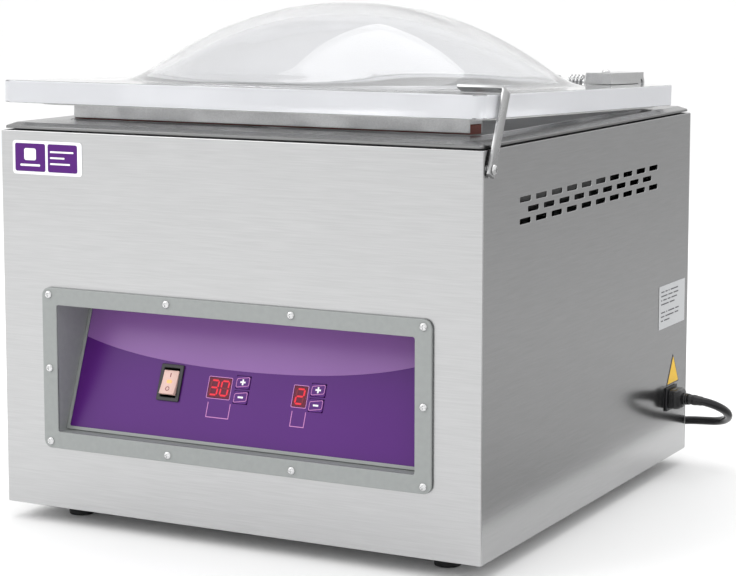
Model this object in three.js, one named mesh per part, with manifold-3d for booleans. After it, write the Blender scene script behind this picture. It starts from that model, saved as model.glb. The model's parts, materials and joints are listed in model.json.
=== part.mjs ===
// Table-top chamber vacuum packing machine, in millimetres.
// +Z is up, the control panel faces -Y and +X is the operator's right.
// The origin is on the table, under the middle of the machine without its cord.
import * as THREE from "three";
import { mergeVertices } from "three/addons/utils/BufferGeometryUtils.js";
import Module from "manifold-3d";

const wasm = await Module();
wasm.setup();

// ---- Driving dimensions ----
const WIDTH = 490;
const DEPTH = 510;
const FRONT = -DEPTH / 2;
const FOOT_HEIGHT = 16;
const PANEL_TOP = 367;
const DECK_TOP = 374;
const SHEET = 1.5;
const GAP = 0.3;
const CENTRE_X = 3.65; // the hook on the right widens the machine on that side
const CENTRE_Y = 2.75; // the bezel screws stand proud of the front

const CHAMBER_HALF = 212;
const CHAMBER_FRONT = FRONT + 49;
const CHAMBER_BACK = FRONT + 437;
const CHAMBER_FLOOR = 247;
const CHAMBER_CORNER = 24;
const WALL = 2;

const LID_REST = THREE.MathUtils.degToRad(1.9);
const LID_HALF = 244;
const LID_DEPTH = 461;
const LID_UNDER = DECK_TOP + 2.5;
const LID_SLAB = 20.5;
const LID_TOP = LID_UNDER + LID_SLAB;
const LID_CORNER = 9;
const DOME_HALF = 201;
const DOME_FRONT = FRONT + 45;
const DOME_BACK = FRONT + 425;
const DOME_POWER = 2.5; // of the superellipse that its rim follows
const DOME_RISE = 77;
const DOME_WALL = 9;
const HINGE_Y = FRONT + 485;
const HINGE_Z = LID_TOP;

const BEZEL_HALF = 200;
const BEZEL_LOW = 73;
const BEZEL_HIGH = 223.5;
const BEZEL_RIM = 16;
const BEZEL_THICK = 3;
const HOLE_INSET = 12; // the front sheet's hole inside the bezel's edge
const TILT = THREE.MathUtils.degToRad(20.4);
const TILT_Y = FRONT + 11;
const TILT_Z = 91;

const LATCH_Y = FRONT + 10.5;
const LATCH_Z = 351;
const LATCH_REACH = 71;
const LATCH_LEAN = THREE.MathUtils.degToRad(24);
const LATCH_WIDTH = 12;
const LATCH_THICK = 3;
const LATCH_LEG = 45;
const LATCH_CLEAR = 1.5; // between the hook and the side sheet

const CORD_RADIUS = 4.3;
const COIL_X = 60;
const COIL_Y = FRONT + 580;
const COIL_RADIUS = 51; // to the middle of its turns, which lie two wide and three high
const PLUG_REACH = 62; // from the middle of the coil to the cord end of the plug
const PLUG_Z = 14;

const INLET_Y = FRONT + 462;
const INLET_Z = 78;
const INLET_HALF_WIDTH = 14; // of the hole in the side sheet
const INLET_HALF_HEIGHT = 11;
const FLANGE = 2;
const CONNECTOR = 17.5; // how far it stands out of the inlet's flange
const LOOP_BACK = FRONT + 514; // where the cord has turned back, behind the machine
const LOOP_LOW = 46;

// ---- Materials ----
const finish = (color, roughness, metalness) =>
  new THREE.MeshStandardMaterial({ color, roughness, metalness });
const steel = finish(0xc4c6c8, 0.35, 0.9);
const darkSteel = finish(0x8d9092, 0.4, 0.9);
const aluminium = finish(0xb9bcc0, 0.45, 0.8);
const zinc = finish(0xd2d4d6, 0.25, 1);
const acrylic = new THREE.MeshStandardMaterial({
  color: 0xe9edf0,
  roughness: 0.08,
  metalness: 0,
  transparent: true,
  opacity: 0.35,
});
const greyPlastic = finish(0xa9aeae, 0.55, 0);
const purple = finish(0x6b3a8e, 0.35, 0);
const paleKey = finish(0xb58cc4, 0.45, 0);
const blackPlastic = finish(0x1b1b1d, 0.45, 0);
const whitePlastic = finish(0xeedbd2, 0.35, 0);
const redGlass = finish(0x5c0a12, 0.15, 0);
const rubber = finish(0x17171a, 0.8, 0);
const redSilicone = finish(0x6e2c22, 0.7, 0);
const greySilicone = finish(0xc9c9c6, 0.75, 0);
const circuit = finish(0x1f6b3a, 0.5, 0);
const pumpPaint = finish(0x39454f, 0.5, 0.2);

// ---- Solids ----
const block = (x0, x1, y0, y1, z0, z1) =>
  new THREE.BoxGeometry(x1 - x0, y1 - y0, z1 - z0).translate(
    (x0 + x1) / 2,
    (y0 + y1) / 2,
    (z0 + z1) / 2,
  );

// A cylinder or cone whose axis starts at a point and runs along +X, +Y or +Z.
function rod(axis, x, y, z, length, radius, endRadius = radius, sides = 20) {
  const shape = new THREE.CylinderGeometry(endRadius, radius, length, sides);
  shape.translate(0, length / 2, 0);
  if (axis === "x") shape.rotateZ(-Math.PI / 2);
  if (axis === "z") shape.rotateX(Math.PI / 2);
  return shape.translate(x, y, z);
}

function roundedOutline(x0, x1, y0, y1, radius, steps = 4) {
  const points = [];
  const corners = [
    [x1 - radius, y1 - radius, 0],
    [x0 + radius, y1 - radius, 1],
    [x0 + radius, y0 + radius, 2],
    [x1 - radius, y0 + radius, 3],
  ];
  for (const [x, y, quarter] of corners)
    for (let i = 0; i <= steps; i += 1) {
      const angle = ((quarter + i / steps) * Math.PI) / 2;
      points.push(
        new THREE.Vector2(
          x + radius * Math.cos(angle),
          y + radius * Math.sin(angle),
        ),
      );
    }
  return points;
}

// A flat outline in X and Y, raised from z0 to z1.
function slab(points, z0, z1, holes = []) {
  const shape = new THREE.Shape(points);
  shape.holes = holes.map((hole) => new THREE.Path(hole));
  const options = { depth: z1 - z0, bevelEnabled: false };
  return new THREE.ExtrudeGeometry(shape, options).translate(0, 0, z0);
}

// An outline in X and Z, made y0 to y1 deep.
const facing = (points, y0, y1, holes = []) =>
  slab(points, -y1, -y0, holes).rotateX(Math.PI / 2);

// An outline in Y and Z, made x0 to x1 wide.
const sideways = (points, x0, x1, holes = []) =>
  slab(points, x0, x1, holes)
    .rotateX(Math.PI / 2)
    .rotateZ(Math.PI / 2);

function solidOf(geometry) {
  const bare = geometry.clone();
  bare.deleteAttribute("normal");
  bare.deleteAttribute("uv");
  const merged = mergeVertices(bare, 1e-3);
  return new wasm.Manifold(
    new wasm.Mesh({
      numProp: 3,
      vertProperties: new Float32Array(merged.attributes.position.array),
      triVerts: new Uint32Array(merged.index.array),
    }),
  );
}

function geometryOf(solid) {
  const mesh = solid.getMesh();
  const geometry = new THREE.BufferGeometry();
  geometry.setAttribute(
    "position",
    new THREE.BufferAttribute(new Float32Array(mesh.vertProperties), 3),
  );
  geometry.setIndex(new THREE.BufferAttribute(new Uint32Array(mesh.triVerts), 1));
  geometry.computeVertexNormals();
  return geometry;
}

const join = (...parts) =>
  geometryOf(parts.map(solidOf).reduce((all, next) => all.add(next)));
const cut = (base, ...tools) =>
  geometryOf(
    tools.map(solidOf).reduce((left, tool) => left.subtract(tool), solidOf(base)),
  );
const common = (a, b) => geometryOf(solidOf(a).intersect(solidOf(b)));

const machine = new THREE.Group();
machine.position.set(-CENTRE_X, CENTRE_Y, 0);

function add(name, geometry, material, parent = machine) {
  const mesh = new THREE.Mesh(geometry, material);
  mesh.name = name;
  parent.add(mesh);
  return mesh;
}

// ---- Casing ----
function addCasing() {
  const half = WIDTH / 2;
  const back = FRONT + DEPTH;
  const inner = half - SHEET - GAP;
  const tray = cut(
    block(-inner, inner, FRONT + 2, back - 2, FOOT_HEIGHT, FOOT_HEIGHT + 22),
    block(
      SHEET - inner,
      inner - SHEET,
      FRONT + 2 + SHEET,
      back - 2 - SHEET,
      FOOT_HEIGHT + SHEET,
      FOOT_HEIGHT + 23,
    ),
  );
  add("base_tray", tray, darkSteel);

  const frontHole = roundedOutline(
    HOLE_INSET - BEZEL_HALF,
    BEZEL_HALF - HOLE_INSET,
    BEZEL_LOW + HOLE_INSET,
    BEZEL_HIGH - HOLE_INSET,
    2,
    1,
  ).reverse();
  add(
    "front_panel",
    facing(
      [
        new THREE.Vector2(-half, FOOT_HEIGHT),
        new THREE.Vector2(half, FOOT_HEIGHT),
        new THREE.Vector2(half, PANEL_TOP),
        new THREE.Vector2(-half, PANEL_TOP),
      ],
      FRONT,
      FRONT + SHEET,
      [frontHole],
    ),
    steel,
  );

  for (const side of [-1, 1]) {
    const outside = side * half;
    const inside = side * (half - SHEET);
    const outline = [
      new THREE.Vector2(FRONT + SHEET + GAP, FOOT_HEIGHT),
      new THREE.Vector2(back - SHEET - GAP, FOOT_HEIGHT),
      new THREE.Vector2(back - SHEET - GAP, PANEL_TOP),
      new THREE.Vector2(FRONT + SHEET + GAP, PANEL_TOP),
    ];
    const holes = ventSlots();
    if (side > 0)
      holes.push(
        roundedOutline(
          INLET_Y - INLET_HALF_WIDTH,
          INLET_Y + INLET_HALF_WIDTH,
          INLET_Z - INLET_HALF_HEIGHT,
          INLET_Z + INLET_HALF_HEIGHT,
          0.5,
          1,
        ),
      );
    add(
      side > 0 ? "side_panel_right" : "side_panel_left",
      sideways(
        outline,
        Math.min(inside, outside),
        Math.max(inside, outside),
        holes.map((hole) => hole.reverse()),
      ),
      steel,
    );
  }
  add(
    "rear_cover",
    block(-half, half, back - SHEET, back, FOOT_HEIGHT, PANEL_TOP),
    steel,
  );
}

// Three staggered rows of slots high on each side, of 10, 9 and 10.
function ventSlots() {
  const pitch = 35;
  const slots = [];
  const rows = [
    [10, FRONT + 88, 319],
    [9, FRONT + 105.5, 309.5],
    [10, FRONT + 88, 300],
  ];
  for (const [count, first, z] of rows)
    for (let i = 0; i < count; i += 1) {
      const y = first + i * pitch;
      slots.push(roundedOutline(y - 12, y + 12, z - 2.4, z + 2.4, 2, 1));
    }
  return slots;
}

function addDeck() {
  const half = WIDTH / 2 - 2;
  const front = FRONT + 2;
  const back = FRONT + DEPTH - 2;
  const bevel = 7;
  const low = PANEL_TOP + 1.6;
  const shell = hipped(half, front, back, low, DECK_TOP, bevel);
  const hollow = hipped(half - 2, front + 2, back - 2, low - 1, DECK_TOP - 2, bevel);
  const mouth = slab(
    roundedOutline(
      -CHAMBER_HALF - GAP,
      CHAMBER_HALF + GAP,
      CHAMBER_FRONT - GAP,
      CHAMBER_BACK + GAP,
      CHAMBER_CORNER,
    ),
    low - 5,
    DECK_TOP + 5,
  );
  add("top_deck", cut(shell, hollow, mouth), steel);
}

// A low plate with a vertical lip and a bevelled edge up to its flat top.
function hipped(half, front, back, low, high, bevel) {
  const lip = (high - low) / 3;
  const rings = [
    [0, low],
    [0, low + lip],
    [bevel, high],
  ];
  const positions = [];
  for (const [inset, z] of rings)
    positions.push(
      [inset - half, front + inset, z],
      [half - inset, front + inset, z],
      [half - inset, back - inset, z],
      [inset - half, back - inset, z],
    );
  const faces = [0, 2, 1, 0, 3, 2, 8, 9, 10, 8, 10, 11];
  for (const ring of [0, 4])
    for (let i = 0; i < 4; i += 1) {
      const a = ring + i;
      const b = ring + ((i + 1) % 4);
      faces.push(a, b, b + 4, a, b + 4, a + 4);
    }
  const geometry = new THREE.BufferGeometry();
  geometry.setAttribute(
    "position",
    new THREE.Float32BufferAttribute(positions.flat(), 3),
  );
  geometry.setIndex(faces);
  return geometry;
}

function addChamber() {
  const outline = (inset) =>
    roundedOutline(
      inset - CHAMBER_HALF,
      CHAMBER_HALF - inset,
      CHAMBER_FRONT + inset,
      CHAMBER_BACK - inset,
      CHAMBER_CORNER - inset,
    );
  const port = rod("z", 120, FRONT + 380, CHAMBER_FLOOR - 20, 40, 8, 8, 16);
  const bores = [-1, 1].map((side) =>
    rod("z", side * LIFT_X, SEAL_Y, CHAMBER_FLOOR - 20, 40, 5.6, 5.6, 16),
  );
  add(
    "vacuum_chamber",
    cut(
      slab(outline(0), CHAMBER_FLOOR - WALL, DECK_TOP - GAP),
      slab(outline(WALL), CHAMBER_FLOOR, DECK_TOP + 5),
      port,
      ...bores,
    ),
    steel,
  );
}

function addFeet() {
  const out = 193;
  const inset = 45;
  for (const [name, x, y] of [
    ["foot_front_left", -out, FRONT + inset],
    ["foot_front_right", out, FRONT + inset],
    ["foot_rear_left", -out, FRONT + DEPTH - inset],
    ["foot_rear_right", out, FRONT + DEPTH - inset],
  ])
    add(name, rod("z", x, y, 0, FOOT_HEIGHT - GAP, 12, 14), rubber);
}

// ---- Controls ----
// The controls sit in a tilted frame: X across, Z up the panel and -Y out of it.
const controls = new THREE.Group();
controls.position.set(0, TILT_Y, TILT_Z);
controls.rotation.x = -TILT;
machine.add(controls);

const SWITCH = [-80.5, 51];
const READOUTS = [
  ["display_vacuum", -28.5, 51, 23],
  ["display_seal", 55, 51, 13.5],
];
const KEYS = [
  ["button_vacuum_up", -4.8, 58.2],
  ["button_vacuum_down", -4.8, 44.4],
  ["button_seal_up", 72.5, 58.2],
  ["button_seal_down", 72.5, 44.4],
];
const KEY_WIDTH = 14.5;
const KEY_HEIGHT = 11.5;
const READOUT_HEIGHT = 18.5;

function addBezel() {
  const low = BEZEL_LOW + BEZEL_RIM;
  const high = BEZEL_HIGH - BEZEL_RIM;
  const open = BEZEL_HALF - BEZEL_RIM;
  const face = FRONT - GAP;
  const plate = facing(
    roundedOutline(-BEZEL_HALF, BEZEL_HALF, BEZEL_LOW, BEZEL_HIGH, 8),
    face - BEZEL_THICK,
    face,
  );
  const tray = block(-open - 2.5, open + 2.5, face - 1, FRONT + 60, low - 2.5, high + 2.5);
  const behind = new THREE.BoxGeometry(500, 80, 400).translate(0, 40 + 2.4, 0);
  behind.rotateX(-TILT);
  behind.translate(0, TILT_Y, TILT_Z);
  add(
    "control_bezel",
    cut(
      join(plate, tray),
      block(-open, open, face - 10, FRONT + 70, low, high),
      behind,
      ...BEZEL_SCREWS.map(([x, z]) => rod("y", x, face - 10, z, 20, 2.6, 2.6, 12)),
    ),
    greyPlastic,
  );
}

const BEZEL_SCREWS = [-192.5, -64.2, 64.2, 192.5]
  .flatMap((x) => [
    [x, BEZEL_HIGH - 6.5],
    [x, BEZEL_LOW + 6.5],
  ])
  .concat([
    [-192.5, (BEZEL_LOW + BEZEL_HIGH) / 2],
    [192.5, (BEZEL_LOW + BEZEL_HIGH) / 2],
  ]);

function addBezelScrews() {
  BEZEL_SCREWS.forEach(([x, z], i) => {
    const profile = [
      [0, GAP],
      [2, GAP],
      [2, BEZEL_THICK + GAP],
      [3.6, BEZEL_THICK + GAP],
      [3.4, BEZEL_THICK + 1.3],
      [2, BEZEL_THICK + 2],
      [0, BEZEL_THICK + 2.2],
    ].map(([r, h]) => new THREE.Vector2(r, h));
    const screw = new THREE.LatheGeometry(profile, 12).rotateX(Math.PI);
    screw.translate(x, FRONT - GAP, z);
    add("bezel_screw_" + String(i + 1).padStart(2, "0"), screw, zinc);
  });
}

function addControls() {
  const open = BEZEL_HALF - BEZEL_RIM - GAP;
  const plate = new THREE.BoxGeometry(500, 2, 400).translate(0, 1, 0);
  const well = block(
    -open,
    open,
    FRONT - 5,
    FRONT + 80,
    BEZEL_LOW + BEZEL_RIM + GAP,
    BEZEL_HIGH - BEZEL_RIM - GAP,
  );
  well.translate(0, -TILT_Y, -TILT_Z);
  well.rotateX(TILT);
  const window = (x, z, width, height) =>
    block(
      x - width / 2 - GAP,
      x + width / 2 + GAP,
      -5,
      5,
      z - height / 2 - GAP,
      z + height / 2 + GAP,
    );
  const overlay = cut(
    common(plate, well),
    window(...SWITCH, 20, 30),
    ...READOUTS.map(([, x, z, width]) => window(x, z, width, READOUT_HEIGHT)),
    ...KEYS.map(([, x, z]) => window(x, z, KEY_WIDTH, KEY_HEIGHT)),
  );
  add("control_overlay", overlay, purple, controls);

  const [sx, sz] = SWITCH;
  const housing = cut(
    join(
      block(sx - 10, sx + 10, -1, 18, sz - 15, sz + 15),
      block(sx - 12, sx + 12, -1.9, -GAP, sz - 17, sz + 17),
    ),
    block(sx - 8.3, sx + 8.3, -5, 12, sz - 13.6, sz + 13.6),
  );
  add("switch_housing", housing, blackPlastic, controls);
  add("switch_rocker", rocker(sx, sz), whitePlastic, controls);

  for (const [name, x, z, width] of READOUTS)
    add(
      name,
      block(
        x - width / 2,
        x + width / 2,
        -0.2,
        5,
        z - READOUT_HEIGHT / 2,
        z + READOUT_HEIGHT / 2,
      ),
      redGlass,
      controls,
    );
  for (const [name, x, z] of KEYS) {
    const outline = roundedOutline(
      x - KEY_WIDTH / 2,
      x + KEY_WIDTH / 2,
      z - KEY_HEIGHT / 2,
      z + KEY_HEIGHT / 2,
      2,
      2,
    );
    add(name, facing(outline, -0.9, 4), paleKey, controls);
  }
  add("control_board", block(-110, 110, 22, 23.6, 8, 96), circuit, controls);
}

// The paddle pivots 5 mm behind the panel; its pressed end stands flush with the rim.
function rocker(x, z) {
  const half = 11.6;
  const outline = [
    [8.5, -6],
    [8.5, 6],
    [0.5, half - 0.4],
    [-2.3, half - 0.5],
    [-3.4, 2.5],
    [-5.6, -half + 0.8],
    [0.5, -half + 0.2],
  ].map(([y, up]) => new THREE.Vector2(y, z + up));
  return sideways(outline, x - 7.9, x + 7.9);
}

// ---- Lid ----
// The lid's pieces are laid out shut, in a frame on the hinge axis, then tipped open.
const lid = new THREE.Group();
lid.position.set(0, HINGE_Y, HINGE_Z);
lid.rotation.x = -LID_REST;
machine.add(lid);
const onLid = (geometry) => geometry.translate(0, -HINGE_Y, -HINGE_Z);

// A blown dome over a superellipse, standing on a short skirt below its rim.
function blister(half, front, back, rim, rise, skirt) {
  const sides = 40;
  const rings = 8;
  const middle = (front + back) / 2;
  const reach = (back - front) / 2;
  const edge = (angle) => {
    const power = 2 / DOME_POWER;
    const c = Math.cos(angle);
    const s = Math.sin(angle);
    return [
      half * Math.sign(c) * Math.abs(c) ** power,
      reach * Math.sign(s) * Math.abs(s) ** power,
    ];
  };
  const positions = [];
  const ring = (share, z) => {
    for (let i = 0; i < sides; i += 1) {
      const [x, y] = edge(((i + 0.5) / sides) * 2 * Math.PI);
      positions.push([x * share, middle + y * share, z]);
    }
  };
  ring(1, rim - skirt);
  for (let k = 0; k < rings; k += 1) {
    const share = Math.cos((k / rings) * (Math.PI / 2)) ** 0.8;
    ring(share, rim + rise * (1 - share ** 2.15));
  }
  const top = positions.push([0, middle, rim + rise]) - 1;
  const bottom = positions.push([0, middle, rim - skirt]) - 1;
  const faces = [];
  for (let k = 0; k <= rings; k += 1)
    for (let i = 0; i < sides; i += 1) {
      const a = k * sides + i;
      const b = k * sides + ((i + 1) % sides);
      if (k < rings) faces.push(a, b, b + sides, a, b + sides, a + sides);
      else faces.push(a, b, top);
      if (k === 0) faces.push(b, a, bottom);
    }
  const geometry = new THREE.BufferGeometry();
  geometry.setAttribute(
    "position",
    new THREE.Float32BufferAttribute(positions.flat(), 3),
  );
  geometry.setIndex(faces);
  return geometry;
}

function addLid() {
  const plate = slab(
    roundedOutline(-LID_HALF, LID_HALF, FRONT, FRONT + LID_DEPTH, LID_CORNER, 3),
    LID_UNDER,
    LID_TOP,
  );
  const outer = blister(DOME_HALF, DOME_FRONT, DOME_BACK, LID_TOP, DOME_RISE, 5);
  const inner = blister(
    DOME_HALF - DOME_WALL,
    DOME_FRONT + DOME_WALL,
    DOME_BACK - DOME_WALL,
    LID_TOP - 2,
    DOME_RISE - DOME_WALL + 2,
    LID_SLAB + 5,
  );
  add("lid_dome", onLid(cut(join(plate, outer), inner)), acrylic, lid);

  const seal = (inset) =>
    roundedOutline(inset - 232, 232 - inset, FRONT + 30 + inset, FRONT + 456 - inset, 26);
  add(
    "lid_gasket",
    onLid(slab(seal(0), DECK_TOP + GAP, LID_UNDER - GAP, [seal(8).reverse()])),
    greySilicone,
    lid,
  );
}

// The counter bar is an upside-down channel across the front of the dome's mouth, with a silicone
// strip in it that the sealing bar presses the bag against.
const BAR_HALF = 205;
const BAR_FRONT = FRONT + 60;
const BAR_DEPTH = 26;
const BAR_HIGH = LID_UNDER - GAP;
const BAR_LOW = BAR_HIGH - 14.5;

function addCounterBar() {
  const back = BAR_FRONT + BAR_DEPTH;
  const wall = 1.6;
  const web = 7;
  const channel = cut(
    block(-BAR_HALF, BAR_HALF, BAR_FRONT, back, BAR_LOW, BAR_HIGH),
    block(
      -BAR_HALF - 1,
      BAR_HALF + 1,
      BAR_FRONT + wall,
      back - wall,
      BAR_LOW - 1,
      BAR_HIGH - web,
    ),
  );
  add("counter_bar", onLid(channel), aluminium, lid);
  add(
    "counter_bar_silicone",
    onLid(
      block(
        -BAR_HALF,
        BAR_HALF,
        BAR_FRONT + wall + GAP,
        back - wall - GAP,
        BAR_LOW - 1.2,
        BAR_HIGH - web - GAP,
      ),
    ),
    redSilicone,
    lid,
  );
}

// ---- Hinges ----
const PIN_RADIUS = 4;
const KNUCKLE = 9;
const ARM_FRONT = FRONT + 400;
const ARM_THICK = 11.5;
const ARM_IN = 173;
const ARM_OUT = 200;
const BRACKET_IN = 140;
const PIN_IN = 106;

// A long flat bar on top of the lid, with the pin's bore in a knuckle under its square back end.
function hingeArm(x0, x1) {
  const knuckle = rod("x", x0, HINGE_Y, HINGE_Z, x1 - x0, KNUCKLE, KNUCKLE, 24);
  const strap = block(x0, x1, ARM_FRONT, HINGE_Y + 6, LID_TOP + GAP, LID_TOP + ARM_THICK);
  const bore = rod("x", x0 - 5, HINGE_Y, HINGE_Z, x1 - x0 + 10, PIN_RADIUS + 0.5);
  return cut(join(knuckle, strap), bore);
}

function hingeBracket(x0, x1) {
  const knuckle = rod("x", x0, HINGE_Y, HINGE_Z, x1 - x0, KNUCKLE, KNUCKLE, 24);
  const stand = block(x0, x1, HINGE_Y - KNUCKLE, HINGE_Y + KNUCKLE, DECK_TOP + GAP, HINGE_Z);
  const foot = block(x0, x1, HINGE_Y - KNUCKLE, HINGE_Y + 16, DECK_TOP + GAP, DECK_TOP + 5);
  const bore = rod("x", x0 - 5, HINGE_Y, HINGE_Z, x1 - x0 + 10, PIN_RADIUS + 0.5);
  return cut(join(knuckle, stand, foot), bore);
}

// A torsion spring wound on the inner end of the hinge pin, with one leg down to the deck.
function torsionSpring(x0, side) {
  const turns = 4;
  const wire = 1.2;
  const radius = PIN_RADIUS + 2.6;
  const pitch = 4;
  const points = [];
  points.push(new THREE.Vector3(x0, HINGE_Y + radius, DECK_TOP + 2));
  points.push(new THREE.Vector3(x0, HINGE_Y + radius, HINGE_Z - 6));
  for (let i = 0; i <= turns * 10; i += 1) {
    const angle = (i / 10) * 2 * Math.PI;
    points.push(
      new THREE.Vector3(
        x0 + (side * pitch * i) / 10,
        HINGE_Y + radius * Math.cos(angle),
        HINGE_Z + radius * Math.sin(angle),
      ),
    );
  }
  const path = new THREE.CatmullRomCurve3(points);
  const section = new THREE.Shape(
    Array.from({ length: 5 }, (_, i) => {
      const angle = (i / 5) * 2 * Math.PI;
      return new THREE.Vector2(wire * Math.cos(angle), wire * Math.sin(angle));
    }),
  );
  const options = { steps: 52, extrudePath: path, bevelEnabled: false };
  return new THREE.ExtrudeGeometry(section, options);
}

function addHinges() {
  for (const [name, side] of [
    ["left", -1],
    ["right", 1],
  ]) {
    const span = (a, b) => [Math.min(side * a, side * b), Math.max(side * a, side * b)];
    add("hinge_arm_" + name, onLid(hingeArm(...span(ARM_IN, ARM_OUT))), aluminium, lid);
    add("hinge_bracket_" + name, hingeBracket(...span(BRACKET_IN, ARM_IN - 1)), darkSteel);
    const [start, end] = span(PIN_IN, ARM_OUT - 1);
    const [headStart, headEnd] = span(PIN_IN, PIN_IN + 3.5);
    const pin = join(
      rod("x", start, HINGE_Y, HINGE_Z, end - start, PIN_RADIUS),
      rod("x", headStart, HINGE_Y, HINGE_Z, headEnd - headStart, 6.5),
    );
    add("hinge_pin_" + name, pin, zinc);
    add("lid_spring_" + name, torsionSpring(side * (BRACKET_IN - 4), -side), zinc);
  }
}

// ---- Hold-down hook ----
function addLatch() {
  const outer = WIDTH / 2 + LATCH_CLEAR;
  const hook = new THREE.Group();
  hook.position.set(outer, LATCH_Y, LATCH_Z);
  hook.rotation.x = -LATCH_LEAN;
  machine.add(hook);
  const half = LATCH_WIDTH / 2;
  const bend = 3.4;
  const outline = [
    [0, -half],
    [LATCH_THICK, -half],
    [LATCH_THICK, LATCH_REACH + LATCH_THICK / 2 - bend],
    [LATCH_THICK - bend * 0.3, LATCH_REACH + LATCH_THICK / 2 - bend * 0.3],
    [LATCH_THICK - bend, LATCH_REACH + LATCH_THICK / 2],
    [LATCH_THICK - LATCH_LEG, LATCH_REACH + LATCH_THICK / 2],
    [LATCH_THICK - LATCH_LEG, LATCH_REACH - LATCH_THICK / 2],
    [0, LATCH_REACH - LATCH_THICK / 2],
  ].map(([x, z]) => new THREE.Vector2(x, z));
  const bar = cut(
    facing(outline, -half, half),
    rod("x", -2, 0, 0, 8, 3.3, 3.3, 16),
  );
  add("latch_hook", bar, zinc, hook);
  const profile = [
    [0, GAP - LATCH_CLEAR],
    [4.4, GAP - LATCH_CLEAR],
    [4.4, -GAP],
    [2.9, -GAP],
    [2.9, LATCH_THICK + GAP],
    [4.4, LATCH_THICK + GAP],
    [4, LATCH_THICK + 2.2],
    [0, LATCH_THICK + 2.8],
  ].map(([r, h]) => new THREE.Vector2(r, h));
  const screw = new THREE.LatheGeometry(profile, 18).rotateZ(-Math.PI / 2);
  add("latch_screw", screw.translate(outer, LATCH_Y, LATCH_Z), zinc);
}

// ---- Sealing bar ----
const SEAL_Y = FRONT + 73;
const SEAL_TOP = 352;
const LIFT_X = 150;

function addSealBar() {
  const bar = block(-BAR_HALF, BAR_HALF, SEAL_Y - 8, SEAL_Y + 8, SEAL_TOP - 26, SEAL_TOP);
  const posts = [-1, 1].map((side) =>
    rod("z", side * LIFT_X, SEAL_Y, 262, SEAL_TOP - 26 - 262 + 1, 5, 5, 16),
  );
  add("seal_bar", join(bar, ...posts), aluminium);
  for (const [name, side] of [
    ["seal_lift_left", -1],
    ["seal_lift_right", 1],
  ]) {
    const x = side * LIFT_X;
    const bottom = CHAMBER_FLOOR + GAP;
    add(
      name,
      cut(
        join(
          rod("z", x, SEAL_Y, bottom, 52, 13),
          rod("z", x, SEAL_Y, bottom, 4, 17),
        ),
        rod("z", x, SEAL_Y, bottom + 6, 60, 5.6, 5.6, 16),
      ),
      aluminium,
    );
  }
}

// ---- Inside the casing ----
function hose(points, radius, steps) {
  const section = new THREE.Shape(
    Array.from({ length: 8 }, (_, i) => {
      const angle = (i / 8) * 2 * Math.PI;
      return new THREE.Vector2(radius * Math.cos(angle), radius * Math.sin(angle));
    }),
  );
  const path = new THREE.CatmullRomCurve3(points.map((p) => new THREE.Vector3(...p)));
  const options = { steps, extrudePath: path, bevelEnabled: false };
  return new THREE.ExtrudeGeometry(section, options);
}

function addWorks() {
  const floor = FOOT_HEIGHT + SHEET + GAP;
  const pumpY = FRONT + 200;
  add(
    "vacuum_pump",
    join(
      block(-205, -65, pumpY, pumpY + 110, floor, floor + 12),
      block(-190, -80, pumpY + 8, pumpY + 100, floor + 10, floor + 118),
      rod("z", -105, pumpY + 54, floor + 116, 22, 16, 16, 16),
      rod("z", -160, pumpY + 54, floor + 116, 40, 9, 9, 12),
    ),
    pumpPaint,
  );
  const motorY = pumpY + 110 + 2;
  add(
    "pump_motor",
    join(
      block(-170, -100, motorY, motorY + 110, floor, floor + 14),
      rod("y", -135, motorY, floor + 64, 110, 56, 56, 24),
      block(-160, -110, motorY + 20, motorY + 90, floor + 100, floor + 132),
      rod("y", -135, motorY + 100, floor + 64, 24, 5, 5, 12),
    ),
    aluminium,
  );
  const fanY = motorY + 114;
  const blades = Array.from({ length: 6 }, (_, i) => {
    const blade = new THREE.BoxGeometry(14, 8, 40).translate(0, 0, 26);
    return blade.rotateY((i / 6) * 2 * Math.PI).translate(-135, fanY + 6, floor + 64);
  });
  add(
    "motor_fan",
    cut(
      join(rod("y", -135, fanY, floor + 64, 12, 14, 14, 18), ...blades),
      rod("y", -135, fanY - 5, floor + 64, 30, 5.6, 5.6, 12),
    ),
    blackPlastic,
  );
  add(
    "suction_hose",
    hose(
      [
        [-160, pumpY + 54, floor + 156 + GAP],
        [-160, pumpY + 54, floor + 166],
        [-150, pumpY + 60, floor + 180],
        [-120, pumpY + 82, floor + 188],
        [-60, pumpY + 120, floor + 192],
        [20, pumpY + 150, floor + 196],
        [90, pumpY + 172, floor + 198],
        [113, pumpY + 178, floor + 206],
        [120, pumpY + 180, floor + 216],
        [120, pumpY + 180, CHAMBER_FLOOR - WALL - GAP],
      ],
      8,
      22,
    ),
    rubber,
  );
  add(
    "solenoid_valve",
    join(
      block(150, 200, FRONT + 330, FRONT + 372, floor + 100, floor + 140),
      rod("z", 175, FRONT + 351, floor + 139, 40, 14, 14, 16),
      block(160, 190, FRONT + 336, FRONT + 366, floor, floor + 101),
    ),
    darkSteel,
  );
  add(
    "transformer",
    join(
      block(60, 160, FRONT + 150, FRONT + 230, floor, floor + 8),
      block(68, 152, FRONT + 158, FRONT + 222, floor + 7, floor + 78),
      block(82, 138, FRONT + 148, FRONT + 232, floor + 18, floor + 66),
    ),
    darkSteel,
  );
}

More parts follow.
